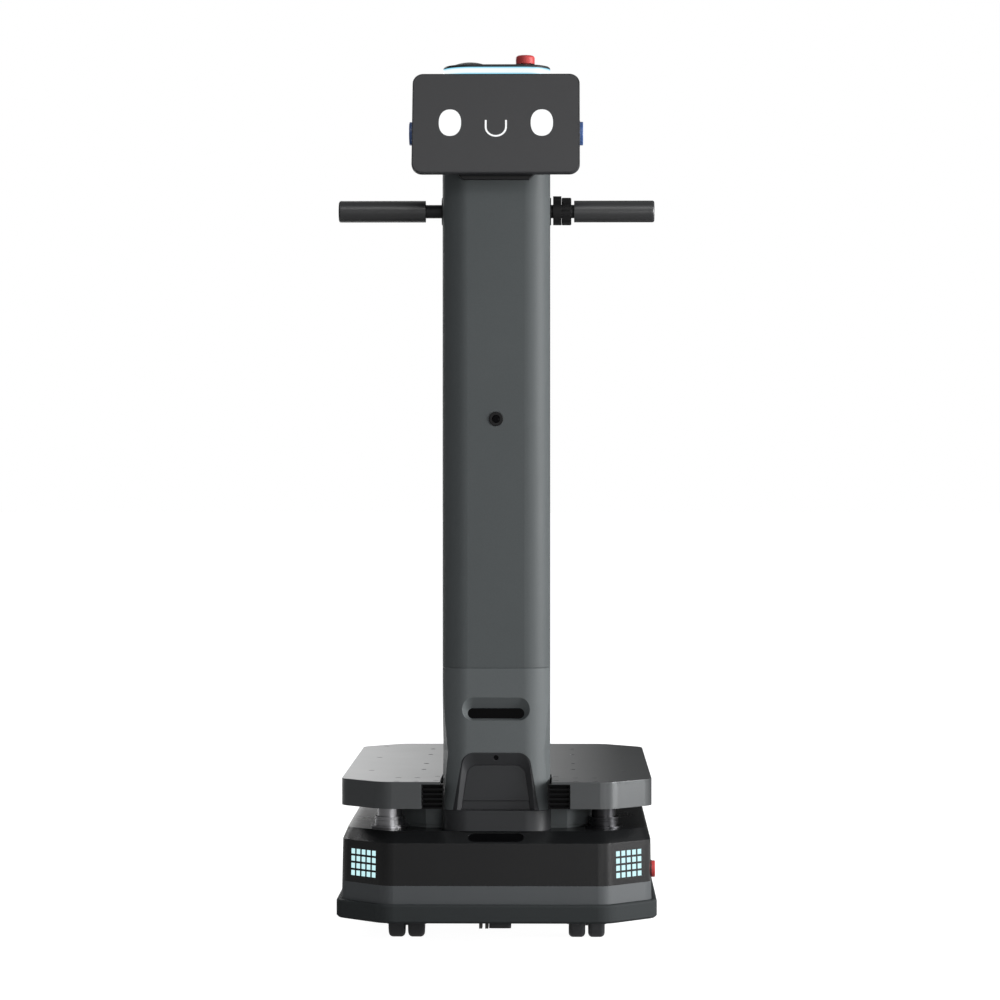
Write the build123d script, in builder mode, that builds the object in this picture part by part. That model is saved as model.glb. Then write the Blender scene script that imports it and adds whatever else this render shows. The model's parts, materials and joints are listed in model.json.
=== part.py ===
from build123d import *

import os
from math import cos, radians, sin, tan

# Autonomous mobile robot: a low driven base, a deck that rises on four posts, and a
# column with a screen, handles and a light at its top.
# Millimetres. The floor is z = 0, +Z is up, the front faces -Y, and +X is on the right
# of someone who looks at the front. The origin is the middle of the footprint.

os.makedirs("parts", exist_ok=True)

# Clearances
running_gap = 0.05      # radial, between a shaft and its bore
seat_gap = 0.3          # between close-fitting pieces
moving_gap = 1.5        # beside a piece that travels
edge_round = 1.0        # small rounding of visible edges

# Footprint
width = 503.0
length = 835.0
bumper_reach = 8.3
corner_cut = 71.5
corner_blend = 32.0
shell_draft = 1.0       # degrees

# Heights of the base, from the floor up
bumper_bottom = 34.3
bumper_top = 63.3
bumper_bevel = 3.0
bumper_ledge = 12.0
plate_bottom = 44.0
plate_thickness = 6.0
lower_shell_height = 41.5
panel_height = 65.3
cover_height = 17.2

# Walls of the base
shell_wall = 3.5
shell_flange = 12.0
flange_thickness = 3.0
lip_height = 6.0
lip_wall = 2.0
cover_slope_front = 24.0
cover_slope_side = 7.0
cover_slope_corner = 20.0
cover_wall = 3.0

# Chassis ribs
rib_width = 30.0
rib_height = 20.0
rib_side_in = 128.2

# Headlights: a grid of square windows on each front corner
light_columns = 5
light_rows = 4
light_pitch = (12.0, 11.2)
light_size = (8.2, 7.7)
light_height = 123.0
light_plate_margin = 4.0
light_plate_thickness = 3.0

# Casters
caster_side_in = 101.7
caster_end_in = 79.2
caster_trail = 22.0
caster_wheel_radius = 28.0
caster_wheel_width = 26.0
caster_wheel_gap = 4.6
caster_tread_round = 7.0
caster_axle_radius = 5.0
caster_cup_radius = 66.0
caster_cup_wall = 4.0
caster_cup_height = 40.0
caster_cup_roof = 6.0
caster_stem_radius = 8.0
caster_disc_radius = 24.0
caster_disc_thickness = 5.0
caster_hood_gap = 3.0
caster_hood_wall = 3.0
caster_axle_head = 2.0
caster_head_radius = 8.0
caster_boss_radius = 10.0
caster_web_reach = 20.0
caster_neck_radius = 17.0

# Drive wheels
drive_radius = 75.0
drive_width = 40.0
drive_side_in = 55.2
drive_tyre = 10.0
drive_axle_radius = 10.0
drive_axle_end = 30.0
drive_plate = 8.0
drive_plate_width = 90.0
drive_plate_height = 45.0
drive_foot = 20.0
drive_dish = 7.0
drive_well_gap = 8.0

# Parts inside the base
battery_size = (250.0, 190.0, 92.0)
battery_set_in = 175.0
controller_length = 150.0
controller_height = 55.0
controller_gap = 5.0
controller_y = -90.0
underside_block = (34.0, 43.0, 19.7)
underside_x = 6.5
underside_end_in = 36.7
contact_size = (5.0, 30.0, 21.0)
contact_pitch = 9.4
contact_gap = 1.2
battery_round = 8.0
controller_round = 6.0
underside_round = 4.0

# Lifting posts
post_side_in = 75.2
post_end_in = 94.2
sleeve_radius = 23.5
rod_radius = 19.0
sleeve_rise = 17.0
sleeve_ring = 3.0
sleeve_groove = 1.2
sleeve_flange = 6.0
sleeve_flange_thickness = 3.0
sleeve_relief = 1.5
bush_length = 26.0
lift_travel = 30.0
rod_overlap = 41.0
rod_flange_radius = 29.0
rod_flange_thickness = 5.0
gearbox_size = (104.0, 52.0, 24.0)
gearbox_overhang = 4.0
motor_radius = 21.0
motor_height = 52.0
motor_offset = 54.0

# Pedestal between the base and the deck
pedestal_front_in = 79.2
pedestal_facet = 42.0
pedestal_side_in = 90.2
pedestal_back_in = 159.2
pedestal_clear = 5.0
pedestal_groove_height = 3.0
pedestal_groove_depth = 2.0
pedestal_plinth = 2.5
pedestal_wall = 4.0

# Deck
deck_gap = 36.0         # from the base top to the deck, raised
deck_depth = 42.0
deck_plate_thickness = 4.0
deck_front_in = 7.2
deck_back_in = 47.2
deck_cut = 66.0
deck_blend = 38.0
skirt_wall = 3.0
notch_back_gap = 5.0
notch_return = 62.0
grille_width = 29.0
grille_reach = 5.3       # past the notch, in front of the column
grille_depth = 12.0
grille_set_back = 3.0
grille_blades = 4
grille_blade = 3.2
grille_rim = 2.0
rail_width = 44.0
rail_height = 30.0
rail_end_gap = 45.0

# Holes and screws of the deck plate
load_hole_radius = 4.5
load_hole_x = 120.0
load_holes_outer = (-174.0, 241.0)
load_holes_inner = (-60.0, 123.0)
screw_radius = 2.6
screw_head_radius = 4.5
screw_head = 2.2
front_screws = (
    (93.0, 98.0),
    (93.0, 24.0),
    (124.0, 73.0),
    (124.0, 10.0),
    (154.0, 73.0),
    (154.0, 10.0),
)
side_screw_in = 40.0
side_screw_share = (-0.73, 0.22, 1.11)

# Column
column_width = 168.0
column_depth = 116.0
column_front_in = 24.2
column_front_round = 40.0
column_back_round = 18.0
column_wall = 3.5
foot_height = 32.0
foot_growth = 0.8
fairing_height = 221.0
column_top = 1352.5
seam_bevel = 0.8
spine_width = 90.0
spine_depth = 56.0
spine_wall = 4.0
spine_top = 1290.0
spine_flange = (126.0, 96.0, 8.0)

# Waist of the lower column
waist_half = 75.0
waist_set_back = 16.0
waist_height = 296.0
waist_top = 432.0
waist_flare = 6.2
waist_angle = 8.0

# Door at the foot of the column
arch_half_top = 51.0
arch_half_bottom = 67.0
arch_top = 296.0
arch_round = 20.0
arch_band_top = 20.0
arch_band_side = 10.0
arch_band_growth = 3.0
arch_depth = 16.0
arch_slope_depth = 9.0
arch_set_in = 0.8
panel_thickness = 3.0
panel_step_height = 15.0
panel_step = 2.5
foot_lens_radius = 3.75
foot_lens_height = 288.0
foot_lens_depth = 4.0

# Depth camera window
recess_width = 108.0
recess_height = 37.5
recess_z = 364.3
recess_depth = 12.0
window_width = 88.0
window_height = 16.0
window_drop = 8.0
window_thickness = 4.0

# Column camera
camera_z = 814.0
camera_bezel_radius = 11.0
camera_lens_radius = 6.0
camera_stand = 1.2
camera_depth = 9.0

# Slot window on the front slope of the cover
slot_width = 86.0
slot_height = 20.0
slot_thickness = 3.0

# Screen
screen_width = 260.0
screen_height = 168.0
screen_round = 16.5
screen_thickness = 8.5
screen_stand = 4.0
screen_z = 1272.4
screen_tilt = 19.0
glass_border = 1.5
glass_thickness = 1.6
head_side_in = 4.0
head_height = 100.0
head_depth = 54.0
head_round = 14.0
head_raise = 14.0
bracket_half = 61.0
bracket_cut = 10.0
bracket_bottom = 1184.0
bracket_top = 1236.0

# Buttons on the sides of the head
head_button_z = 1258.7
head_button_back = 28.0
head_button_radius = 18.3
head_bezel_radius = 23.0
head_bezel_stand = 4.5
head_bezel_bevel = 3.0
head_button_stand = 9.3
head_button_travel = 2.0
head_button_depth = 8.0

# Crown
crown_round = 45.0
ring_height = 11.0
cap_height = 4.4
cap_round = 3.6
dome_radius = 31.0
dome_rise = 7.0
dome_x = -41.7
stop_x = 44.8
stop_radius = 14.8
stop_height = 13.4
stop_travel = 4.0
stop_stem_radius = 6.0
stop_collar_radius = 11.0
stop_barrel = 14.0

# Stop button on the right side of the base
side_stop_end_in = 94.2
side_stop_z = 108.5
side_stop_radius = 13.0
side_stop_stand = 6.5
side_stop_travel = 3.0
side_stop_depth = 12.0
side_stop_bezel = 1.5

# Handles
handle_z = 1139.7
handle_radius = 10.5
handle_wall = 2.0
grip_radius = 17.0
grip_outer = 247.0
grip_inner_left = 111.0
grip_inner_right = 121.5
grip_dome = 3.0
handle_bush_radius = 21.5
handle_bush_stand = 1.5
clamp_inner = 88.6
clamp_width = 13.0
clamp_radius = 21.5
clamp_tab = 2.0
clamp_tab_width = 12.0
twist_width = 15.2
twist_radius = 20.7
twist_ribs = 18
twist_rib_radius = 0.9

# Worked out from the sizes above
body_width = width - 2 * bumper_reach
body_length = length - 2 * bumper_reach
body_side = body_width / 2
body_end = body_length / 2
caster_x = body_side - caster_side_in
caster_y = body_end - caster_end_in
rib_x = body_side - rib_side_in
battery_y = caster_y - battery_set_in
controller_width = 2 * (rib_x - rib_width / 2 - controller_gap)
drive_x = body_side - drive_side_in
underside_y = underside_end_in - body_end
post_x = body_side - post_side_in
post_y = body_end - post_end_in
pedestal_front = pedestal_front_in - body_end
pedestal_back = body_end - pedestal_back_in
pedestal_half_width = body_side - pedestal_side_in
pedestal_half_front = pedestal_half_width - pedestal_facet
deck_front = deck_front_in - body_end
deck_back = body_end - deck_back_in
rail_length = 2 * (post_y - rail_end_gap)
side_screw_x = body_side - side_screw_in
side_screw_y = [share * rail_length / 2 for share in side_screw_share]
column_front = column_front_in - body_end
screen_y = column_front - screen_stand
head_width = screen_width - 2 * head_side_in
head_button_y = column_front + head_button_back
side_stop_y = side_stop_end_in - body_end
plate_top = plate_bottom + plate_thickness
panel_bottom = plate_top + lower_shell_height
cover_bottom = panel_bottom + panel_height
base_top = cover_bottom + cover_height
deck_bottom = base_top + deck_gap
deck_top = deck_bottom + deck_depth
deck_under = deck_top - deck_plate_thickness
foot_top = base_top + foot_height
seam_z = foot_top + fairing_height
column_y = column_front + column_depth / 2
column_back = column_front + column_depth
cup_top = plate_top + caster_cup_height
gearbox_top = cup_top + gearbox_size[2]
sleeve_top = base_top + sleeve_rise
ring_top = column_top + ring_height
cap_top = ring_top + cap_height
pedestal_top = deck_under - lift_travel - pedestal_clear
notch_half = column_width / 2 + foot_growth + moving_gap
rail_x = body_side - skirt_wall - rail_width / 2
tilt = radians(screen_tilt)
screen_rise = (column_top - screen_z) * tan(tilt)
crown_front = screen_y + screen_rise + (screen_thickness + seat_gap) / cos(tilt)
crown_y = (crown_front + column_back) / 2

# Planes that look out of the front of the column and out of the screen
front = Plane(origin=(0, column_front, 0), x_dir=(1, 0, 0), z_dir=(0, -1, 0))
screen = Plane(
    origin=(0, screen_y, screen_z), x_dir=(1, 0, 0), z_dir=(0, -cos(tilt), sin(tilt))
)


def outline(inset=0.0):
    """Plan of the base body, moved in by the inset."""
    with BuildSketch(mode=Mode.PRIVATE) as plan:
        Rectangle(body_width, body_length)
        chamfer(plan.vertices(), corner_cut)
        fillet(plan.vertices(), corner_blend)
        if inset:
            offset(amount=-inset, kind=Kind.INTERSECTION, mode=Mode.REPLACE)
    return plan.sketch


def lean(height):
    """How far the shells have leaned in at a height."""
    return (height - plate_top) * tan(radians(shell_draft))


def upright(bottom, top, inset=0.0, mode=Mode.ADD):
    """Straight block on the plan of the base."""
    with BuildSketch(Plane.XY.offset(bottom)) as plan:
        add(outline(inset))
    extrude(plan.sketch, amount=top - bottom, mode=mode)


def leaning(bottom, top, inset=0.0, mode=Mode.ADD):
    """Block on the plan of the base whose sides follow the draft of the shells."""
    with BuildSketch(Plane.XY.offset(bottom)) as plan:
        add(outline(inset + lean(bottom)))
    extrude(plan.sketch, amount=top - bottom, taper=shell_draft, mode=mode)


def column_plan(inset=0.0):
    """Plan of the column, moved in by the inset."""
    with BuildSketch(mode=Mode.PRIVATE) as plan:
        with Locations((0, column_y)):
            Rectangle(column_width, column_depth)
        fillet(plan.vertices().group_by(Axis.Y)[0], column_front_round)
        fillet(plan.vertices().group_by(Axis.Y)[-1], column_back_round)
        if inset:
            offset(amount=-inset, kind=Kind.INTERSECTION, mode=Mode.REPLACE)
    return plan.sketch


def column_block(bottom, top, inset=0.0, mode=Mode.ADD):
    """Upright block on the plan of the column."""
    with BuildSketch(Plane.XY.offset(bottom)) as plan:
        add(column_plan(inset))
    extrude(plan.sketch, amount=top - bottom, mode=mode)


def block(size, x, y, bottom, mode=Mode.ADD):
    """Box with its base centred on a point."""
    with Locations((x, y, bottom)):
        Box(*size, align=(Align.CENTER, Align.CENTER, Align.MIN), mode=mode)


def post(radius, x, y, bottom, top, mode=Mode.ADD):
    """Upright cylinder."""
    with Locations((x, y, bottom)):
        Cylinder(radius, top - bottom, align=(Align.CENTER, Align.CENTER, Align.MIN), mode=mode)


def bar(radius, x_from, x_to, y, z, mode=Mode.ADD):
    """Cylinder that lies along X."""
    with BuildSketch(Plane(origin=(x_from, y, z), x_dir=(0, 1, 0), z_dir=(1, 0, 0))) as end:
        Circle(radius)
    extrude(end.sketch, amount=x_to - x_from, mode=mode)


def save(builder, name):
    """Labels a piece and writes it."""
    builder.part.label = name
    export_step(builder.part, f"parts/{name}.step")


corners = [(sx, sy) for sx in (-1, 1) for sy in (-1, 1)]
sides = (-1, 1)

# Chassis: a floor plate with ribs, and openings for the drive wheels and the casters
drive_inner = drive_x - drive_width / 2 - drive_well_gap
drive_outer = drive_x + drive_width / 2 + drive_well_gap
well_size = (
    drive_outer - drive_inner,
    2 * (drive_radius + drive_well_gap),
    plate_thickness,
)
with BuildPart() as chassis_frame:
    upright(plate_bottom, plate_top, seat_gap)
    for side in sides:
        rib_size = (rib_width, 2 * (caster_y - caster_cup_radius), rib_height)
        block(rib_size, side * rib_x, 0, plate_top)
    for side in sides:
        block(well_size, side * (drive_inner + drive_outer) / 2, 0, plate_bottom, Mode.SUBTRACT)
    cup_inner = caster_cup_radius - caster_cup_wall
    for sx, sy in corners:
        post(cup_inner, sx * caster_x, sy * caster_y, plate_bottom, plate_top, Mode.SUBTRACT)
save(chassis_frame, "chassis_frame")

# Caster cups: pots on the floor plate that give each caster room to swivel
cup_roof = cup_top - caster_cup_roof
with BuildPart() as caster_cups:
    for sx, sy in corners:
        post(caster_cup_radius, sx * caster_x, sy * caster_y, plate_top, cup_top)
        post(cup_inner, sx * caster_x, sy * caster_y, plate_top, cup_roof, Mode.SUBTRACT)
        stem_bore = caster_stem_radius + running_gap
        post(stem_bore, sx * caster_x, sy * caster_y, cup_roof, cup_top, Mode.SUBTRACT)
save(caster_cups, "caster_cups")

# Bumper: a soft band round the foot of the base, on a ledge under the floor plate
with BuildPart() as bumper:
    upright(bumper_bottom, bumper_top, -bumper_reach)
    fillet(bumper.faces().sort_by(Axis.Z)[-1].edges(), bumper_reach / 2)
    chamfer(bumper.faces().sort_by(Axis.Z)[0].edges(), bumper_bevel)
    upright(plate_bottom, bumper_top, -seat_gap, Mode.SUBTRACT)
    upright(bumper_bottom, plate_bottom, bumper_ledge, Mode.SUBTRACT)
    for sx, sy in corners:
        post(caster_cup_radius, sx * caster_x, sy * caster_y, bumper_bottom, plate_bottom, Mode.SUBTRACT)
save(bumper, "bumper")

# Lower shell: the grey band above the bumper
with BuildPart() as lower_shell:
    leaning(plate_top, panel_bottom)
    leaning(plate_top + flange_thickness, panel_bottom, shell_wall, Mode.SUBTRACT)
    upright(plate_top, plate_top + flange_thickness, shell_flange, Mode.SUBTRACT)
    for sx, sy in corners:
        cup = caster_cup_radius + seat_gap
        post(cup, sx * caster_x, sy * caster_y, plate_top, plate_top + flange_thickness, Mode.SUBTRACT)
save(lower_shell, "lower_shell")

# Headlight grids, laid out on the flat of each front corner
cut_middle_x = body_width / 2 - corner_cut / 2
cut_middle_y = -(body_length / 2 - corner_cut / 2)
light_inset = lean(light_height)
grid_width = (light_columns - 1) * light_pitch[0] + light_size[0]
grid_height = (light_rows - 1) * light_pitch[1] + light_size[1]


def corner_plane(side):
    """Plane on the outer face of a front corner, tipped with the draft."""
    draft = radians(shell_draft)
    out_x = side * sin(radians(45))
    out_y = -cos(radians(45))
    point = (cut_middle_x - light_inset * sin(radians(45))) * side
    return Plane(
        origin=(point, cut_middle_y + light_inset * cos(radians(45)), light_height),
        x_dir=(cos(radians(45)), side * sin(radians(45)), 0),
        z_dir=(out_x * cos(draft), out_y * cos(draft), sin(draft)),
    )


def tongue(level):
    """Ring under a shell that drops inside the shell below it."""
    outer = shell_wall + seat_gap + lean(level)
    upright(level - lip_height, level, outer)
    upright(level - lip_height, level, outer + lip_wall, Mode.SUBTRACT)


# Panel band: the glossy belt, pierced for the headlights and the side stop button
side_stop_face = body_width / 2 - lean(side_stop_z)
side_bore = side_stop_radius + side_stop_bezel
with BuildPart() as panel_band:
    leaning(panel_bottom, cover_bottom)
    leaning(panel_bottom, cover_bottom, shell_wall, Mode.SUBTRACT)
    web_inner = shell_wall + seat_gap + lip_wall + lean(panel_bottom)
    upright(panel_bottom, panel_bottom + lip_wall, lip_wall + lean(panel_bottom))
    upright(panel_bottom, panel_bottom + lip_wall, web_inner, Mode.SUBTRACT)
    tongue(panel_bottom)
    for side in sides:
        with BuildSketch(corner_plane(side)):
            with GridLocations(*light_pitch, light_columns, light_rows):
                Rectangle(light_size[0] + seat_gap, light_size[1] + seat_gap)
        extrude(amount=-2 * shell_wall, both=True, mode=Mode.SUBTRACT)
    bar(side_bore, side_stop_face - 3 * shell_wall, width / 2, side_stop_y, side_stop_z, Mode.SUBTRACT)
save(panel_band, "panel_band")

# Headlight lenses: one moulding behind each corner, with a stud through every hole
with BuildPart() as headlight_lenses:
    for side in sides:
        behind = corner_plane(side).offset(-shell_wall)
        with BuildSketch(behind):
            Rectangle(grid_width + 2 * light_plate_margin, grid_height + 2 * light_plate_margin)
        extrude(amount=-light_plate_thickness)
        with BuildSketch(behind):
            with GridLocations(*light_pitch, light_columns, light_rows):
                Rectangle(*light_size)
        extrude(amount=shell_wall)
save(headlight_lenses, "headlight_lenses")


def cover_plan(end_inset, side_inset, cut_inset):
    """Plan of the cover, with its own inset at the ends, the sides and the corner cuts."""
    with BuildSketch(mode=Mode.PRIVATE) as plan:
        Rectangle(body_width - 2 * side_inset, body_length - 2 * end_inset)
        chamfer(plan.vertices(), corner_cut - end_inset - side_inset + cut_inset * 2**0.5)
        fillet(plan.vertices(), corner_blend)
    return plan.sketch


def sloped(bottom, top, extra):
    """Slab whose edges slope in, most at the two ends."""
    start = lean(cover_bottom) + extra
    with BuildSketch(Plane.XY.offset(bottom)) as low:
        add(cover_plan(start, start, start))
    with BuildSketch(Plane.XY.offset(top)) as high:
        ends = start + cover_slope_front
        add(cover_plan(ends, start + cover_slope_side, start + cover_slope_corner))
    return loft([low.sketch, high.sketch], ruled=True, mode=Mode.PRIVATE)


foot_size = (column_width + 2 * foot_growth, column_depth + 2 * foot_growth)
slope_length = (cover_slope_front**2 + cover_height**2) ** 0.5
slope_middle_y = -(body_length / 2 - lean(cover_bottom) - cover_slope_front / 2)
slope = Plane(
    origin=(0, slope_middle_y, cover_bottom + cover_height / 2),
    x_dir=(1, 0, 0),
    z_dir=(0, -cover_height / slope_length, cover_slope_front / slope_length),
)

# Top cover: a low lid with sloping edges, holes for the posts and the column
with BuildPart() as top_cover:
    add(sloped(cover_bottom, base_top, 0))
    add(sloped(cover_bottom - cover_wall, base_top - cover_wall, shell_wall), mode=Mode.SUBTRACT)
    tongue(cover_bottom)
    for sx, sy in corners:
        hole = sleeve_radius + seat_gap
        post(hole, sx * post_x, sy * post_y, cover_bottom, base_top, Mode.SUBTRACT)
    opening = (spine_width + 2 * seat_gap, spine_depth + 2 * seat_gap, cover_height)
    block(opening, 0, column_y, cover_bottom, Mode.SUBTRACT)
    with BuildSketch(slope):
        SlotOverall(slot_width + seat_gap, slot_height + seat_gap)
    extrude(amount=2 * cover_wall, both=True, mode=Mode.SUBTRACT)
save(top_cover, "top_cover")

# Sensor windows: the low scanner's in the front slope, the depth camera's in its recess
with BuildPart() as sensor_windows:
    with BuildSketch(slope.offset(-edge_round)):
        SlotOverall(slot_width, slot_height)
    extrude(amount=-slot_thickness)
    with BuildSketch(front.offset(-recess_depth)):
        with Locations((0, recess_z - window_drop)):
            SlotOverall(window_width, window_height)
    extrude(amount=-window_thickness)
save(sensor_windows, "sensor_windows")

# Side stop button, in a bezel that fills its hole in the panel band
with BuildPart() as side_stop_bezel_ring:
    inner_end = side_stop_face - side_stop_depth
    bar(side_bore - seat_gap, inner_end, side_stop_face + edge_round, side_stop_y, side_stop_z)
    bar(side_bore + side_stop_bezel, inner_end - flange_thickness, inner_end, side_stop_y, side_stop_z)
    bar(
        side_stop_radius + running_gap,
        inner_end + side_stop_travel,
        width / 2,
        side_stop_y,
        side_stop_z,
        Mode.SUBTRACT,
    )
save(side_stop_bezel_ring, "side_stop_bezel")

with BuildPart() as side_stop_button:
    pressed = side_stop_face - side_stop_depth + side_stop_travel
    button_inner = pressed + side_stop_travel + seat_gap
    bar(side_stop_radius, button_inner, side_stop_face + side_stop_stand, side_stop_y, side_stop_z)
    fillet(side_stop_button.faces().sort_by(Axis.X)[-1].edges(), edge_round)
save(side_stop_button, "side_stop_button")

# Battery and controller on the floor plate
with BuildPart() as battery_pack:
    block(battery_size, 0, battery_y, plate_top + rib_height)
    fillet(battery_pack.edges().filter_by(Axis.Z), battery_round)
save(battery_pack, "battery_pack")

with BuildPart() as control_box:
    controller_size = (controller_width, controller_length, controller_height)
    block(controller_size, 0, controller_y, plate_top)
    fillet(control_box.edges().filter_by(Axis.Z), controller_round)
save(control_box, "control_box")

# Sensor block and charging contacts under the front of the base
with BuildPart() as underside_sensor:
    block(underside_block, underside_x, underside_y, plate_bottom - underside_block[2])
    fillet(underside_sensor.edges().filter_by(Axis.Z), underside_round)
save(underside_sensor, "underside_sensor")

with BuildPart() as charging_contacts:
    contact_x = underside_x - underside_block[0] / 2 - contact_gap - contact_size[0] / 2
    for step in range(2):
        x = contact_x - step * contact_pitch
        block(contact_size, x, underside_y, plate_bottom - contact_size[2])
save(charging_contacts, "charging_contacts")


def pedestal_plan(inset=0.0):
    """Plan of the pedestal, with its two front corners cut, moved in by the inset."""
    with BuildSketch(mode=Mode.PRIVATE) as plan:
        with BuildLine():
            Polyline(
                (-pedestal_half_width, pedestal_back),
                (-pedestal_half_width, pedestal_front + pedestal_facet),
                (-pedestal_half_front, pedestal_front),
                (pedestal_half_front, pedestal_front),
                (pedestal_half_width, pedestal_front + pedestal_facet),
                (pedestal_half_width, pedestal_back),
                close=True,
            )
        make_face()
        if inset:
            offset(amount=-inset, kind=Kind.INTERSECTION, mode=Mode.REPLACE)
    return plan.sketch


# Pedestal: a fixed raised housing that the deck comes down over, with a shadow groove
groove_bottom = base_top + pedestal_plinth
with BuildPart() as pedestal:
    with BuildSketch(Plane.XY.offset(base_top)):
        add(pedestal_plan())
    extrude(amount=pedestal_top - base_top)
    with BuildSketch(Plane.XY.offset(base_top)):
        add(pedestal_plan(pedestal_wall))
    extrude(amount=pedestal_top - base_top - pedestal_wall, mode=Mode.SUBTRACT)
    with BuildSketch(Plane.XY.offset(groove_bottom)):
        add(pedestal_plan())
        add(pedestal_plan(pedestal_groove_depth), mode=Mode.SUBTRACT)
    extrude(amount=pedestal_groove_height, mode=Mode.SUBTRACT)
    channel = (foot_size[0] + 2 * seat_gap, 2 * foot_size[1], pedestal_top)
    block(channel, 0, column_back + foot_growth + seat_gap - foot_size[1], base_top, Mode.SUBTRACT)
save(pedestal, "pedestal")

# Lift drives: a gearbox on each caster cup, with its motor, under the post
with BuildPart() as lift_drives:
    for sx, sy in corners:
        box_x = sx * (post_x + sleeve_radius + gearbox_overhang - gearbox_size[0] / 2)
        block(gearbox_size, box_x, sy * post_y, cup_top)
    for sx, sy in corners:
        motor_x = sx * (post_x - motor_offset)
        post(motor_radius, motor_x, sy * post_y, gearbox_top, gearbox_top + motor_height)
save(lift_drives, "lift_drives")

# Post sleeves, with a guide bush at the top, a ring groove and a flange on the cover
bore = rod_radius + running_gap
relief = bore + sleeve_relief
groove = sleeve_radius - sleeve_groove
groove_high = sleeve_top - sleeve_ring
flange_top = base_top + sleeve_flange_thickness
with BuildPart() as post_sleeves:
    for sx, sy in corners:
        foot = (sx * post_x, sy * post_y, 0)
        with BuildSketch(Plane(origin=foot, x_dir=(1, 0, 0), z_dir=(0, -1, 0))):
            with BuildLine():
                Polyline(
                    (relief, gearbox_top),
                    (sleeve_radius, gearbox_top),
                    (sleeve_radius, base_top),
                    (sleeve_radius + sleeve_flange, base_top),
                    (sleeve_radius + sleeve_flange, flange_top),
                    (sleeve_radius, flange_top),
                    (sleeve_radius, groove_high - sleeve_ring),
                    (groove, groove_high - sleeve_ring),
                    (groove, groove_high),
                    (sleeve_radius, groove_high),
                    (sleeve_radius, sleeve_top),
                    (bore, sleeve_top),
                    (bore, sleeve_top - bush_length),
                    (relief, sleeve_top - bush_length),
                    close=True,
                )
            make_face()
        revolve(axis=Axis(foot, (0, 0, 1)))
save(post_sleeves, "post_sleeves")

# Lift rods: they slide in the sleeves and carry the deck on their flanges
with BuildPart() as lift_rods:
    for sx, sy in corners:
        post(rod_radius, sx * post_x, sy * post_y, sleeve_top - rod_overlap, deck_under)
        flange_bottom = deck_under - rod_flange_thickness
        post(rod_flange_radius, sx * post_x, sy * post_y, flange_bottom, deck_under)
save(lift_rods, "lift_rods")

# Deck plate, open at the front where the column stands
deck_length = deck_back - deck_front
deck_middle = (deck_back + deck_front) / 2
notch_back = column_back + foot_growth + notch_back_gap


def deck_plan(inset=0.0):
    """Plan of the deck without its notch, moved in by the inset."""
    with BuildSketch(mode=Mode.PRIVATE) as plan:
        with Locations((0, deck_middle)):
            Rectangle(body_width, deck_length)
        chamfer(plan.vertices(), deck_cut)
        fillet(plan.vertices(), deck_blend)
        if inset:
            offset(amount=-inset, kind=Kind.INTERSECTION, mode=Mode.REPLACE)
    return plan.sketch


notch_size = (2 * notch_half, notch_back - deck_front)
notch_middle = (notch_back + deck_front) / 2
with BuildPart() as deck_plate:
    with BuildSketch(Plane.XY.offset(deck_under)):
        add(deck_plan())
        with Locations((0, notch_middle)):
            Rectangle(*notch_size, mode=Mode.SUBTRACT)
    extrude(amount=deck_plate_thickness)
    fillet(deck_plate.faces().sort_by(Axis.Z)[-1].edges(), edge_round)
    with BuildSketch(Plane.XY.offset(deck_under)):
        for side in sides:
            for y in load_holes_outer + load_holes_inner:
                with Locations((side * load_hole_x, y)):
                    Circle(load_hole_radius)
    extrude(amount=deck_plate_thickness, mode=Mode.SUBTRACT)
    screw_places = [(side * x, deck_front + y) for side in sides for x, y in front_screws]
    screw_places += [(side * side_screw_x, y) for side in sides for y in side_screw_y]
    sink = screw_head_radius + seat_gap
    with Locations(*[(x, y, deck_top) for x, y in screw_places]):
        CounterSinkHole(screw_radius + seat_gap, sink, depth=deck_plate_thickness)
save(deck_plate, "deck_plate")

# Deck frame: the wall round the deck, with short returns beside the column, and two rails
with BuildPart() as deck_frame:
    with BuildSketch(Plane.XY.offset(deck_bottom)):
        add(deck_plan())
        add(deck_plan(skirt_wall), mode=Mode.SUBTRACT)
        opening = notch_half + grille_width
        with Locations((0, deck_front)):
            Rectangle(2 * opening, 4 * skirt_wall, mode=Mode.SUBTRACT)
        for side in sides:
            with Locations((side * (opening + skirt_wall / 2), deck_front + notch_return / 2)):
                Rectangle(skirt_wall, notch_return)
    extrude(amount=deck_under - deck_bottom)
    for side in sides:
        block((rail_width, rail_length, rail_height), side * rail_x, 0, deck_under - rail_height)
save(deck_frame, "deck_frame")

# Deck grilles: bladed vents on each side of the column
with BuildPart() as deck_grilles:
    grille_long = grille_width + grille_reach
    for side in sides:
        grille_x = side * (notch_half + grille_width - grille_long / 2)
        grille_y = deck_front + grille_set_back + grille_depth / 2
        grille_height = deck_under - deck_bottom
        block((grille_long, grille_depth, grille_height), grille_x, grille_y, deck_bottom)
        open_height = grille_height - 2 * grille_rim - grille_blades * grille_blade
        window_tall = open_height / (grille_blades + 1)
        for step in range(grille_blades + 1):
            low = deck_bottom + grille_rim + step * (window_tall + grille_blade)
            window = (grille_long - 2 * grille_rim, grille_depth - grille_rim, window_tall)
            block(window, grille_x, grille_y - grille_rim / 2, low, Mode.SUBTRACT)
save(deck_grilles, "deck_grilles")

# Deck screws, sunk in the plate
with BuildPart() as deck_screws:
    for x, y in screw_places:
        with Locations((x, y, deck_top - seat_gap)):
            Cone(
                screw_radius,
                screw_head_radius,
                screw_head,
                align=(Align.CENTER, Align.CENTER, Align.MAX),
            )
        post(screw_radius, x, y, deck_under, deck_top - seat_gap - screw_head)
save(deck_screws, "deck_screws")

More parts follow.
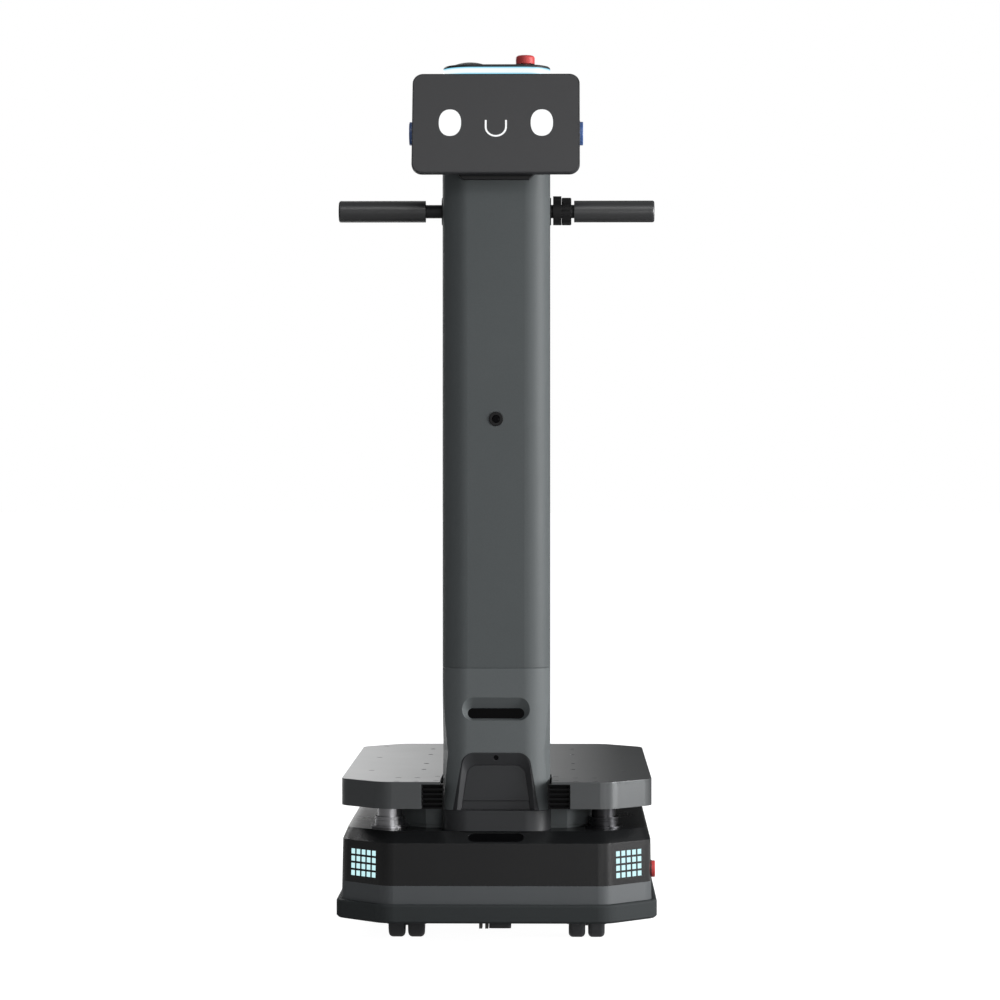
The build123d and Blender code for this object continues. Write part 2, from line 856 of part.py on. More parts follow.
# Column foot
with BuildPart() as column_foot:
    column_block(base_top, foot_top, -foot_growth)
    opening = (spine_width + 2 * seat_gap, spine_depth + 2 * seat_gap, foot_height)
    block(opening, 0, column_y, base_top, Mode.SUBTRACT)
    chamfer(column_foot.faces().sort_by(Axis.Z)[-1].outer_wire().edges(), foot_growth)
save(column_foot, "column_foot")

# Column spine: a box tube on a flange that is bolted to the floor plate
with BuildPart() as column_spine:
    block(spine_flange, 0, column_y, plate_top)
    block((spine_width, spine_depth, spine_top - plate_top), 0, column_y, plate_top)
    hollow = (spine_width - 2 * spine_wall, spine_depth - 2 * spine_wall, spine_top - plate_top)
    block(hollow, 0, column_y, plate_top, Mode.SUBTRACT)
    bar(handle_radius + running_gap, -spine_width, spine_width, column_y, handle_z, Mode.SUBTRACT)
save(column_spine, "column_spine")


def doorway(top, half_top, half_bottom, radius):
    """Doorway outline that widens to the foot, with rounded upper corners."""
    with BuildSketch(mode=Mode.PRIVATE) as shape:
        with BuildLine():
            Polyline(
                (-half_bottom, foot_top),
                (-half_top, top),
                (half_top, top),
                (half_bottom, foot_top),
                close=True,
            )
        make_face()
        fillet(shape.vertices().group_by(Axis.Y)[-1], radius)
    return shape.sketch


outer_door = doorway(arch_top, arch_half_top, arch_half_bottom, arch_round)
inner_door = doorway(
    arch_top - arch_band_top,
    arch_half_top - arch_band_side + arch_band_growth,
    arch_half_bottom - arch_band_side - arch_band_growth,
    arch_round - arch_band_growth,
)


def waist_cutter(side):
    """Hollow in a front corner of the column: a long fade above, a flare below."""
    angle = radians(waist_angle)
    plane = Plane(
        origin=(side * waist_half, column_front + waist_set_back, 0),
        x_dir=(cos(angle), -side * sin(angle), 0),
        z_dir=(-side * sin(angle), -cos(angle), 0),
    )
    reach = 5 * waist_flare
    with BuildSketch(plane, mode=Mode.PRIVATE) as profile:
        with BuildLine():
            top_point = (side * waist_flare, waist_top)
            low_point = (side * waist_flare, foot_top)
            TangentArc(top_point, (0, waist_height), tangent=(0, -1))
            Polyline((0, waist_height), low_point, (side * reach, foot_top))
            Polyline((side * reach, foot_top), (side * reach, waist_top), top_point)
        make_face()
    return extrude(profile.sketch, amount=5 * waist_set_back, both=True, mode=Mode.PRIVATE)


# Lower fairing: the waisted foot of the column, with the camera recess and the doorway
with BuildPart() as column_fairing:
    column_block(foot_top, seam_z)
    for side in sides:
        add(waist_cutter(side), mode=Mode.SUBTRACT)
    cavity = (spine_width + 2 * seat_gap, spine_depth + 2 * seat_gap, fairing_height)
    block(cavity, 0, column_y, foot_top, Mode.SUBTRACT)
    with BuildSketch(front.offset(arch_depth)):
        add(outer_door)
    extrude(amount=-2 * arch_depth, mode=Mode.SUBTRACT)
    with BuildSketch(front.offset(edge_round)):
        with Locations((0, recess_z)):
            SlotOverall(recess_width, recess_height)
    with BuildSketch(front.offset(-recess_depth)):
        with Locations((0, recess_z - window_drop)):
            SlotOverall(window_width, window_height)
    loft(mode=Mode.SUBTRACT)
    with BuildSketch(front.offset(-recess_depth)):
        with Locations((0, recess_z - window_drop)):
            SlotOverall(window_width, window_height)
    extrude(amount=-window_thickness, mode=Mode.SUBTRACT)
    chamfer(column_fairing.faces().sort_by(Axis.Z)[-1].outer_wire().edges(), seam_bevel)
save(column_fairing, "column_fairing")

# Door frame: its face slopes in from the column to the door
with BuildPart() as door_frame:
    with BuildSketch(front.offset(arch_depth)):
        add(outer_door)
        offset(amount=-seat_gap, kind=Kind.INTERSECTION, mode=Mode.REPLACE)
    extrude(amount=-2 * arch_depth)
    column_block(foot_top, seam_z, arch_set_in, Mode.INTERSECT)
    with BuildSketch(front):
        add(outer_door)
    with BuildSketch(front.offset(-arch_slope_depth)):
        add(inner_door)
    loft(mode=Mode.SUBTRACT)
    with BuildSketch(front):
        add(inner_door)
    extrude(amount=-arch_depth, mode=Mode.SUBTRACT)
    with BuildSketch(front):
        with Locations((0, foot_lens_height)):
            Circle(foot_lens_radius + seat_gap)
    extrude(amount=-arch_slope_depth, mode=Mode.SUBTRACT)
save(door_frame, "door_frame")

# Door, with a finger lip along its foot
with BuildPart() as foot_door:
    with BuildSketch(front.offset(-arch_slope_depth)):
        add(inner_door)
        offset(amount=-seat_gap, kind=Kind.INTERSECTION, mode=Mode.REPLACE)
    extrude(amount=-panel_thickness - panel_step)
    step_top = foot_top + panel_step_height
    with BuildSketch(front.offset(-arch_slope_depth)):
        with Locations((0, step_top)):
            Rectangle(column_width, 2 * panel_step_height, align=(Align.CENTER, Align.MAX))
    extrude(amount=-panel_step, mode=Mode.SUBTRACT)
save(foot_door, "foot_door")

# Upper column shell, cut back at the top where the screen leans on it
behind_screen = screen.offset(-screen_thickness - seat_gap)
with BuildPart() as column_shell:
    column_block(seam_z, column_top)
    column_block(seam_z, column_top, column_wall, Mode.SUBTRACT)
    chamfer(column_shell.faces().sort_by(Axis.Z)[0].outer_wire().edges(), seam_bevel)
    with BuildSketch(front.offset(edge_round)):
        with Locations((0, camera_z)):
            Circle(camera_bezel_radius + seat_gap)
    extrude(amount=-2 * column_wall, mode=Mode.SUBTRACT)
    bush_hole = handle_bush_radius + seat_gap
    bar(bush_hole, -column_width, column_width, column_y, handle_z, Mode.SUBTRACT)
    split(bisect_by=behind_screen, keep=Keep.BOTTOM)
save(column_shell, "column_shell")

# Column camera: a bezel in the shell with a lens in it
with BuildPart() as camera_bezel:
    with BuildSketch(front.offset(camera_stand)):
        with Locations((0, camera_z)):
            Circle(camera_bezel_radius)
    extrude(amount=-camera_depth)
    with BuildSketch(front.offset(camera_stand)):
        with Locations((0, camera_z)):
            Circle(camera_lens_radius + seat_gap)
    extrude(amount=-camera_depth + panel_thickness, mode=Mode.SUBTRACT)
    fillet(camera_bezel.faces().sort_by(Axis.Y)[0].outer_wire().edges(), camera_stand / 2)
save(camera_bezel, "camera_bezel")

# Lenses: the column camera's and the small one over the door
with BuildPart() as camera_lenses:
    with BuildSketch(front.offset(camera_stand - camera_depth + panel_thickness)):
        with Locations((0, camera_z)):
            Circle(camera_lens_radius)
    extrude(amount=camera_depth - panel_thickness - camera_stand)
    fillet(camera_lenses.faces().sort_by(Axis.Y)[0].edges(), camera_stand)
    with BuildSketch(front.offset(-arch_slope_depth)):
        with Locations((0, foot_lens_height)):
            Circle(foot_lens_radius)
    extrude(amount=foot_lens_depth)
save(camera_lenses, "camera_lenses")

# Screen frame, tilted back, with the glass let into its face
with BuildPart() as screen_frame:
    with BuildSketch(screen):
        RectangleRounded(screen_width, screen_height, screen_round)
    extrude(amount=-screen_thickness)
    fillet(screen_frame.faces().sort_by(Axis.Y)[0].edges(), edge_round)
    with BuildSketch(screen):
        RectangleRounded(
            screen_width - 2 * glass_border,
            screen_height - 2 * glass_border,
            screen_round - glass_border,
        )
    extrude(amount=-glass_thickness, mode=Mode.SUBTRACT)
save(screen_frame, "screen_frame")

with BuildPart() as screen_glass:
    with BuildSketch(screen.offset(-glass_thickness)):
        RectangleRounded(
            screen_width - 2 * glass_border - seat_gap,
            screen_height - 2 * glass_border - seat_gap,
            screen_round - glass_border,
        )
    extrude(amount=glass_thickness)
save(screen_glass, "screen_glass")

# Head housing: behind the screen and round both sides of the column
with BuildPart() as head_housing:
    with BuildSketch(screen.offset(-screen_thickness)):
        with Locations((0, head_raise)):
            RectangleRounded(head_width, head_height, head_round)
    extrude(amount=-head_depth)
    fillet(head_housing.faces().sort_by(Axis.Y)[-1].edges(), head_round / 2)
    column_block(seam_z, column_top, -seat_gap, Mode.SUBTRACT)
    for side in sides:
        start = side * (head_width / 2 - head_button_depth)
        hole = head_bezel_radius - flange_thickness + seat_gap
        bar(hole, start, side * width / 2, head_button_y, head_button_z, Mode.SUBTRACT)
save(head_housing, "head_housing")

# Bezels and buttons on the sides of the head
with BuildPart() as head_button_bezels:
    for side in sides:
        start = side * (head_width / 2 - head_button_depth)
        face = side * head_width / 2
        outer = side * (head_width / 2 + head_bezel_stand)
        barrel = head_bezel_radius - flange_thickness
        bar(barrel, start, face, head_button_y, head_button_z)
        bar(head_bezel_radius, face, outer, head_button_y, head_button_z)
    rims = head_button_bezels.faces().sort_by(Axis.X)
    chamfer(rims[0].edges() + rims[-1].edges(), head_bezel_bevel)
    for side in sides:
        floor_x = side * (head_width / 2 - head_button_depth + flange_thickness)
        bore = head_button_radius + running_gap
        bar(bore, floor_x, side * width / 2, head_button_y, head_button_z, Mode.SUBTRACT)
save(head_button_bezels, "head_button_bezels")

for side, name in ((-1, "head_button_left"), (1, "head_button_right")):
    with BuildPart() as head_button:
        inner = head_width / 2 - head_button_depth + flange_thickness + head_button_travel + seat_gap
        outer = head_width / 2 + head_button_stand
        bar(head_button_radius, side * inner, side * outer, head_button_y, head_button_z)
        face = head_button.faces().sort_by(Axis.X, reverse=side < 0)[-1]
        fillet(face.edges(), edge_round)
    save(head_button, name)

# Neck bracket: it fills the wedge between the column and the foot of the screen
with BuildPart() as screen_bracket:
    with BuildSketch(front.offset(-column_front_round)):
        with BuildLine():
            Polyline(
                (bracket_cut - bracket_half, bracket_bottom),
                (-bracket_half, bracket_bottom + bracket_cut),
                (-bracket_half, bracket_top),
                (bracket_half, bracket_top),
                (bracket_half, bracket_bottom + bracket_cut),
                (bracket_half - bracket_cut, bracket_bottom),
                close=True,
            )
        make_face()
    extrude(amount=2 * column_front_round)
    split(bisect_by=screen.offset(-screen_thickness), keep=Keep.BOTTOM)
    with BuildSketch(screen):
        with Locations((0, head_raise)):
            RectangleRounded(head_width, head_height, head_round)
    extrude(amount=-screen_thickness - head_depth, mode=Mode.SUBTRACT)
    column_block(foot_top, column_top, 0, Mode.SUBTRACT)
save(screen_bracket, "screen_bracket")


def crown_block(bottom, top):
    """Block on the plan of the crown, whose front is set back to clear the screen."""
    with BuildSketch(Plane.XY.offset(bottom)) as plan:
        with Locations((0, crown_y)):
            Rectangle(column_width, column_back - crown_front)
        fillet(plan.vertices().group_by(Axis.Y)[0], crown_round)
        fillet(plan.vertices().group_by(Axis.Y)[-1], column_back_round)
    extrude(plan.sketch, amount=top - bottom)


# Light ring: a clear slab that closes the top of the column
with BuildPart() as light_ring:
    crown_block(column_top, ring_top)
    barrel = stop_collar_radius + seat_gap
    post(barrel, stop_x, crown_y, column_top, ring_top, Mode.SUBTRACT)
save(light_ring, "light_ring")

with BuildPart() as crown_cap:
    crown_block(ring_top, cap_top)
    fillet(crown_cap.faces().sort_by(Axis.Z)[-1].edges(), cap_round)
    post(barrel, stop_x, crown_y, ring_top, cap_top, Mode.SUBTRACT)
save(crown_cap, "crown_cap")

# Dome of the upward sensor
dome_base = (dome_x, crown_y, cap_top)
with BuildPart() as crown_dome:
    with BuildSketch(Plane(origin=dome_base, x_dir=(1, 0, 0), z_dir=(0, -1, 0))):
        with BuildLine():
            TangentArc((0, dome_rise), (dome_radius, 0), tangent=(1, 0))
            Polyline((0, dome_rise), (0, 0), (dome_radius, 0))
        make_face()
    revolve(axis=Axis(dome_base, (0, 0, 1)))
save(crown_dome, "crown_dome")

# Stop button on the crown: a collar let into the cap, and the red mushroom head
collar_top = cap_top + flange_thickness
barrel_floor = collar_top - stop_barrel
with BuildPart() as stop_collar:
    post(stop_collar_radius, stop_x, crown_y, column_top, collar_top)
    stem_bore = stop_stem_radius + running_gap
    post(stem_bore, stop_x, crown_y, barrel_floor, collar_top, Mode.SUBTRACT)
save(stop_collar, "stop_collar")

with BuildPart() as stop_button:
    head_bottom = cap_top + stop_travel + seat_gap
    hollow_top = collar_top + stop_travel + seat_gap
    head_top = head_bottom + stop_height
    post(stop_radius, stop_x, crown_y, head_bottom, head_top)
    fillet(stop_button.faces().sort_by(Axis.Z)[-1].edges(), stop_height / 3)
    post(stop_collar_radius + seat_gap, stop_x, crown_y, head_bottom, hollow_top, Mode.SUBTRACT)
    stem_bottom = barrel_floor + stop_travel + seat_gap
    post(stop_stem_radius, stop_x, crown_y, stem_bottom, hollow_top)
save(stop_button, "stop_button")

# Handle: one tube through the column, in a bush on each side
with BuildPart() as handle_tube:
    tube_end = grip_outer - grip_dome - seat_gap
    bar(handle_radius, -tube_end, tube_end, column_y, handle_z)
    bar(handle_radius - handle_wall, -tube_end, tube_end, column_y, handle_z, Mode.SUBTRACT)
save(handle_tube, "handle_tube")

with BuildPart() as handle_bushes:
    for side in sides:
        inner = side * (column_width / 2 - 2 * column_wall)
        outer = side * (column_width / 2 + handle_bush_stand)
        bar(handle_bush_radius, inner, outer, column_y, handle_z)
        bar(handle_radius + running_gap, inner, outer, column_y, handle_z, Mode.SUBTRACT)
save(handle_bushes, "handle_bushes")


# Grips: sleeves on the tube, closed and rounded at the outer end
with BuildPart() as handle_grips:
    bar(grip_radius, -grip_outer, -grip_inner_left, column_y, handle_z)
    bar(grip_radius, grip_inner_right, grip_outer, column_y, handle_z)
    ends = handle_grips.faces().sort_by(Axis.X)
    fillet(ends[0].edges() + ends[-1].edges(), grip_dome)
    bore = handle_radius + running_gap
    bore_end = grip_outer - grip_dome
    bar(bore, -bore_end, -grip_inner_left, column_y, handle_z, Mode.SUBTRACT)
    bar(bore, grip_inner_right, bore_end, column_y, handle_z, Mode.SUBTRACT)
save(handle_grips, "handle_grips")

# Control collar on the right handle: a fixed clamp with a tab and a ribbed twist ring
with BuildPart() as handle_clamp:
    clamp_outer = clamp_inner + clamp_width
    bar(clamp_radius, clamp_inner, clamp_outer, column_y, handle_z)
    tab = (clamp_width, clamp_tab_width, clamp_radius + clamp_tab)
    block(tab, clamp_inner + clamp_width / 2, column_y, handle_z)
    bar(handle_radius + running_gap, clamp_inner, clamp_outer, column_y, handle_z, Mode.SUBTRACT)
save(handle_clamp, "handle_clamp")

with BuildPart() as twist_ring:
    twist_inner = clamp_outer + seat_gap
    twist_outer = twist_inner + twist_width
    bar(twist_radius, twist_inner, twist_outer, column_y, handle_z)
    for step in range(twist_ribs):
        turn = radians(360 * step / twist_ribs)
        rib_y = column_y + twist_radius * cos(turn)
        rib_z = handle_z + twist_radius * sin(turn)
        bar(twist_rib_radius, twist_inner + edge_round, twist_outer - edge_round, rib_y, rib_z)
    bar(handle_radius + running_gap, twist_inner, twist_outer, column_y, handle_z, Mode.SUBTRACT)
save(twist_ring, "twist_ring")

# Drive wheels: an axle bracket on the floor plate, a hub motor and a tyre
with BuildPart() as drive_brackets:
    for side in sides:
        plate_x = side * (drive_inner - drive_plate / 2)
        foot_x = side * (drive_inner - drive_foot / 2)
        block((drive_plate, drive_plate_width, drive_plate_height), plate_x, 0, plate_top)
        block((drive_foot, drive_plate_width, flange_thickness), foot_x, 0, plate_top)
        axle_end = side * (drive_inner + drive_well_gap + drive_axle_end)
        bar(drive_axle_radius, plate_x, axle_end, 0, drive_radius)
save(drive_brackets, "drive_brackets")

for side, word in ((-1, "left"), (1, "right")):
    hub_radius = drive_radius - drive_tyre
    inner = side * (drive_x - drive_width / 2)
    outer = side * (drive_x + drive_width / 2)
    with BuildPart() as drive_hub:
        bar(hub_radius, inner, outer, 0, drive_radius)
        dish = outer - side * drive_dish
        bar(hub_radius - drive_tyre, dish, outer, 0, drive_radius, Mode.SUBTRACT)
        bar(hub_radius / 2, dish, outer - side * edge_round, 0, drive_radius)
        bore_end = inner + side * (drive_axle_end + seat_gap)
        bar(drive_axle_radius + running_gap, inner, bore_end, 0, drive_radius, Mode.SUBTRACT)
    save(drive_hub, f"drive_hub_{word}")
    with BuildPart() as drive_tyre_ring:
        bar(drive_radius, inner, outer, 0, drive_radius)
        rims = drive_tyre_ring.faces().sort_by(Axis.X)
        fillet(rims[0].edges() + rims[-1].edges(), drive_tyre / 2)
        bar(hub_radius, inner, outer, 0, drive_radius, Mode.SUBTRACT)
    save(drive_tyre_ring, f"drive_tyre_{word}")

# Casters: a fork on a stem in the roof of its cup, and a pair of wheels on its axle
half_gap = caster_wheel_gap / 2
wheel_outer = half_gap + caster_wheel_width
for sx, side_word in ((-1, "left"), (1, "right")):
    for sy, end_word in ((-1, "front"), (1, "rear")):
        x = sx * caster_x
        y = sy * caster_y
        axle_y = y + caster_trail
        disc_top = cup_top - caster_cup_roof - seat_gap
        disc_bottom = disc_top - caster_disc_thickness
        with BuildPart() as caster_fork:
            post(caster_disc_radius, x, y, disc_bottom, disc_top)
            post(caster_stem_radius, x, y, disc_top, cup_top - seat_gap)
            web = caster_wheel_gap - 2 * seat_gap
            with BuildSketch(Plane(origin=(x - web / 2, 0, 0), x_dir=(0, 1, 0), z_dir=(1, 0, 0))):
                with BuildLine():
                    Polyline(
                        (y - caster_web_reach, disc_bottom),
                        (y + caster_web_reach, disc_bottom),
                        (axle_y + caster_boss_radius, caster_wheel_radius),
                        (axle_y - caster_boss_radius, caster_wheel_radius),
                        close=True,
                    )
                make_face()
                with Locations((axle_y, caster_wheel_radius)):
                    Circle(caster_boss_radius)
            extrude(amount=web)
            hood_inner = caster_wheel_radius + caster_hood_gap
            hood_side = Plane(origin=(x - wheel_outer, 0, 0), x_dir=(0, 1, 0), z_dir=(1, 0, 0))
            with BuildSketch(hood_side):
                with Locations((axle_y, caster_wheel_radius)):
                    Circle(hood_inner + caster_hood_wall)
                    Circle(hood_inner, mode=Mode.SUBTRACT)
                cut_z = caster_wheel_radius + hood_inner / 2
                below = (Align.CENTER, Align.MAX)
                with Locations((axle_y, cut_z)):
                    Rectangle(4 * hood_inner, 4 * hood_inner, align=below, mode=Mode.SUBTRACT)
            extrude(amount=2 * wheel_outer)
            post(caster_neck_radius, x, y, caster_wheel_radius + hood_inner, disc_bottom)
            head_x = wheel_outer + seat_gap
            bar(caster_axle_radius, x - head_x, x + head_x, axle_y, caster_wheel_radius)
            for side in sides:
                start = x + side * head_x
                end = start + side * caster_axle_head
                bar(caster_head_radius, start, end, axle_y, caster_wheel_radius)
        save(caster_fork, f"caster_fork_{end_word}_{side_word}")
        with BuildPart() as caster_wheels:
            for side in sides:
                inner = x + side * half_gap
                outer = x + side * wheel_outer
                bar(caster_wheel_radius, inner, outer, axle_y, caster_wheel_radius)
            ends = caster_wheels.faces().filter_by(Axis.X)
            fillet(ends.edges(), caster_tread_round)
            for side in sides:
                inner = x + side * half_gap
                outer = x + side * wheel_outer
                bore = caster_axle_radius + running_gap
                bar(bore, inner, outer, axle_y, caster_wheel_radius, Mode.SUBTRACT)
        save(caster_wheels, f"caster_wheels_{end_word}_{side_word}")
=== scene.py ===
# %% [markdown]
# # A mobile robot with a lifting deck, dressed for a studio picture
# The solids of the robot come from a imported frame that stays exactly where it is. This
# lesson adds what a picture needs: a camera, soft light, a finish for every piece, and the
# thin lit shapes on the screen. Everything is in metres. The floor is z = 0, the front of
# the robot faces -Y, and +X is to the right of someone who looks at the front.

# %% Load the frame
import json
import math

import bmesh
import bpy
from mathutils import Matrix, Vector


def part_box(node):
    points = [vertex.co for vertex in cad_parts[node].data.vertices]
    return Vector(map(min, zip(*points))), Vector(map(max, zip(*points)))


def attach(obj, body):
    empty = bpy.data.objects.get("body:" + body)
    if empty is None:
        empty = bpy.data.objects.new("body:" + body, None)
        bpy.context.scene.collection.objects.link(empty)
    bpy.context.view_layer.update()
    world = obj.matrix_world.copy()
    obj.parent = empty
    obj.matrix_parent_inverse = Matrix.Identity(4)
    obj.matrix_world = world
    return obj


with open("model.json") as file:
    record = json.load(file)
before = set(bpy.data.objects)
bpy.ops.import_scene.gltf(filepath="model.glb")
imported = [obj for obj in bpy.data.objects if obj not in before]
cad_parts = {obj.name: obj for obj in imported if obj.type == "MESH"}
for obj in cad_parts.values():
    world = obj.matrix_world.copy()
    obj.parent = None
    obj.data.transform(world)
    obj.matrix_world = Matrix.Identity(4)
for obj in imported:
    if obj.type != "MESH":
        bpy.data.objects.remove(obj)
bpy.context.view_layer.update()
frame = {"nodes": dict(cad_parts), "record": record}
nodes = frame["nodes"]
print("nodes in the frame:", len(nodes))

# %% [markdown]
# ## Camera
# The photograph is almost level and was taken with a long lens from a little over five
# metres in front of the bumper, so upright lines stay upright. In such a picture the place
# where all depth lines meet gives the camera's direction, and the width of a known piece
# gives its distance. A short lens close by would splay the deck.

# %% Place the camera
camera_place = (0.0960, -5.740, 0.727)
camera_look = Vector((-0.01674, 1.0, -0.00724))
lens_mm = 124.3
sensor_mm = 36.0
farthest_seen = 200.0

camera = bpy.data.objects.new("camera", bpy.data.cameras.new("camera"))
bpy.context.scene.collection.objects.link(camera)
bpy.context.scene.camera = camera
camera.data.lens = lens_mm
camera.data.sensor_width = sensor_mm
camera.data.clip_end = farthest_seen
camera.location = camera_place
camera.rotation_mode = "QUATERNION"
camera.rotation_quaternion = camera_look.to_track_quat("-Z", "Y")
bpy.context.scene.view_settings.view_transform = "Standard"
print("camera at", camera_place)

# %% [markdown]
# ## Helpers for shader nodes
# A material is a small graph of nodes. A few helpers keep the cells short. They add a node
# with its inputs, and do what many materials need: calculate, map one range onto another,
# mix two colours, and read where on the object a point lies. Values that are the same all
# over a surface are typed straight into the shader, because a link would only hide them.

# %% Node helpers
def feed(tree, target, value):
    """Give an input socket a value, or join an output socket to it."""
    if isinstance(value, bpy.types.NodeSocket):
        tree.links.new(value, target)
    else:
        target.default_value = value


def add_node(tree, kind, inputs=(), **settings):
    """New node in a tree, with its settings and with values or sockets for its inputs."""
    node = tree.nodes.new(kind)
    for key, value in settings.items():
        setattr(node, key, value)
    for key, value in dict(inputs).items():
        feed(tree, node.inputs[key], value)
    return node


def calculate(tree, operation, *values, clamp=False):
    """Result of a math node with values or sockets for its inputs."""
    node = add_node(tree, "ShaderNodeMath", enumerate(values), operation=operation,
                    use_clamp=clamp)
    return node.outputs[0]


def map_range(tree, value, low, high, to_low=0.0, to_high=1.0):
    """Value carried over from the range low to high onto the range to_low to to_high."""
    ends = enumerate((value, low, high, to_low, to_high))
    return add_node(tree, "ShaderNodeMapRange", ends).outputs[0]


def mix_colours(tree, share, first, second):
    """Colour between the first, at a share of 0, and the second, at a share of 1."""
    inputs = {0: share, 6: first, 7: second}
    return add_node(tree, "ShaderNodeMix", inputs, data_type="RGBA").outputs[2]


def along_axis(tree, axis):
    """How far along one of its axes a point of the object lies, in metres."""
    place = add_node(tree, "ShaderNodeTexCoord").outputs["Object"]
    return add_node(tree, "ShaderNodeSeparateXYZ", {0: place}).outputs[axis]


print("node helpers ready")

# %% [markdown]
# ## Node groups
# An effect that many materials share is a node group with named sockets. It is built once
# and placed in each material with that material's own values.

# %% Helper for groups
FLOAT = "NodeSocketFloat"
COLOUR = "NodeSocketColor"
VECTOR = "NodeSocketVector"


def new_group(name, inputs, outputs):
    """Empty shader node group with named sockets, and its two end nodes."""
    group = bpy.data.node_groups.new(name, "ShaderNodeTree")
    for label, kind, value in inputs:
        item = group.interface.new_socket(label, in_out="INPUT", socket_type=kind)
        item.default_value = value
    for label, kind in outputs:
        group.interface.new_socket(label, in_out="OUTPUT", socket_type=kind)
    return group, group.nodes.new("NodeGroupInput"), group.nodes.new("NodeGroupOutput")


print("group helper ready")

# %% [markdown]
# ## The fine grain of a moulded or painted surface
# No real surface has one colour. Moulded plastic has a fine spark-eroded grain and pale
# clouds where the melt flowed, and powder coat has an orange-peel skin. One group gives
# both: a broad noise that shifts the colour and the roughness a little, and a fine noise
# that goes to a Bump node. It reads object coordinates in metres, so the grain has the
# same size on every piece, with no unwrapping. A noise stays near its middle, so its swing
# is spread before it is used.

# %% Group: grain
noise_middle = 0.5
noise_spread = 4.0

grain, start, end = new_group(
    "surface grain",
    [
        ("Colour", COLOUR, (0.1, 0.1, 0.1, 1)),
        ("Roughness", FLOAT, 0.5),
        ("Grain", FLOAT, 900.0),
        ("Clouds", FLOAT, 9.0),
        ("Tint", FLOAT, 0.06),
        ("Scuff", FLOAT, 0.06),
    ],
    [("Colour", COLOUR), ("Roughness", FLOAT), ("Height", FLOAT)],
)
place = add_node(grain, "ShaderNodeTexCoord").outputs["Object"]
clouds = add_node(grain, "ShaderNodeTexNoise", {
    "Vector": place, "Scale": start.outputs["Clouds"], "Detail": 4.0, "Roughness": 0.6})
fine = add_node(grain, "ShaderNodeTexNoise", {
    "Vector": place, "Scale": start.outputs["Grain"], "Detail": 2.0, "Roughness": 0.5})
cloud_swing = calculate(grain, "SUBTRACT", clouds.outputs["Fac"], noise_middle)
fine_swing = calculate(grain, "SUBTRACT", fine.outputs["Fac"], noise_middle)
cloud_tint = calculate(grain, "MULTIPLY", cloud_swing, start.outputs["Tint"])
both_tints = calculate(grain, "MULTIPLY_ADD", fine_swing, start.outputs["Tint"], cloud_tint)
brightness = calculate(grain, "MULTIPLY_ADD", both_tints, noise_spread, 1.0)
tinted = add_node(grain, "ShaderNodeVectorMath", {
    0: start.outputs["Colour"], "Scale": brightness}, operation="SCALE")
scuffed = calculate(grain, "MULTIPLY", cloud_swing, start.outputs["Scuff"])
uneven = calculate(grain, "MULTIPLY_ADD", scuffed, noise_spread, start.outputs["Roughness"])
feed(grain, end.inputs["Colour"], tinted.outputs[0])
feed(grain, end.inputs["Roughness"], uneven)
feed(grain, end.inputs["Height"], fine.outputs["Fac"])
print("group:", grain.name, len(grain.nodes), "nodes")

# %% [markdown]
# ## Softened edges, and the wear and painted highlights along them
# The eye reads a real product by the thin light line on its edges. A solid with sharp
# corners has none. Rounding every edge in the mesh would be one way, but the frame's
# meshes stay as they are, so the Bevel node rounds the normals instead. Where the rounded
# normal leaves the true one there is an edge, and that difference is also the mask for
# wear: rubbed plastic turns a little lighter there. A noise breaks the line up into spots.
# On the door and the grilles this lighter edge colour is set so strong that it is a painted
# highlight along the edges.

# %% Group: edges
fully_bent = 0.86
spots_per_m = 60.0
spot_noise = (0.35, 0.65)
spot_mask = (0.25, 1.0)

edges, start, end = new_group(
    "soft edges",
    [
        ("Colour", COLOUR, (0.1, 0.1, 0.1, 1)),
        ("Worn and highlight colour", COLOUR, (0.2, 0.2, 0.2, 1)),
        ("Wear and highlight", FLOAT, 0.3),
        ("Radius", FLOAT, 0.0008),
    ],
    [("Colour", COLOUR), ("Normal", VECTOR)],
)
bevel = add_node(edges, "ShaderNodeBevel", {"Radius": start.outputs["Radius"]}, samples=4)
surface = add_node(edges, "ShaderNodeNewGeometry")
likeness = add_node(edges, "ShaderNodeVectorMath", {
    0: bevel.outputs["Normal"], 1: surface.outputs["Normal"]}, operation="DOT_PRODUCT")
edge_mask = map_range(edges, likeness.outputs["Value"], 1.0, fully_bent)
spots = add_node(edges, "ShaderNodeTexNoise", {
    "Vector": add_node(edges, "ShaderNodeTexCoord").outputs["Object"],
    "Scale": spots_per_m, "Detail": 5.0})
broken = map_range(edges, spots.outputs["Fac"], *spot_noise, *spot_mask)
broken_edge = calculate(edges, "MULTIPLY", edge_mask, broken)
share = calculate(edges, "MULTIPLY", broken_edge, start.outputs["Wear and highlight"], clamp=True)
worn_and_highlit = mix_colours(edges, share, start.outputs["Colour"], start.outputs["Worn and highlight colour"])
feed(edges, end.inputs["Colour"], worn_and_highlit)
feed(edges, end.inputs["Normal"], bevel.outputs["Normal"])
print("group:", edges.name, len(edges.nodes), "nodes")

# %% [markdown]
# ## One recipe for most finishes
# Plastic, paint, rubber and bare metal differ in a handful of numbers: colour, roughness,
# metallic, coat, and how deep the grain is. So one function places both groups in a new
# material and types the rest into the Principled shader. Each finish then is one readable
# call with its own numbers. Colours are written as a screen shows them, from 0 to 255, and
# a shader calculates with light, so a second function turns them into amounts of light.

# %% The finish function
wear_and_highlight_gain = 1.8
wear_and_highlight_lift = 0.02
grain_height = 0.001


def linear(red, green, blue):
    """Linear colour of an sRGB colour: a straight line near black, a power above it."""
    light = [((v / 255 + 0.055) / 1.055) ** 2.4 if v > 10 else v / 3295
             for v in (red, green, blue)]
    return (*light, 1)


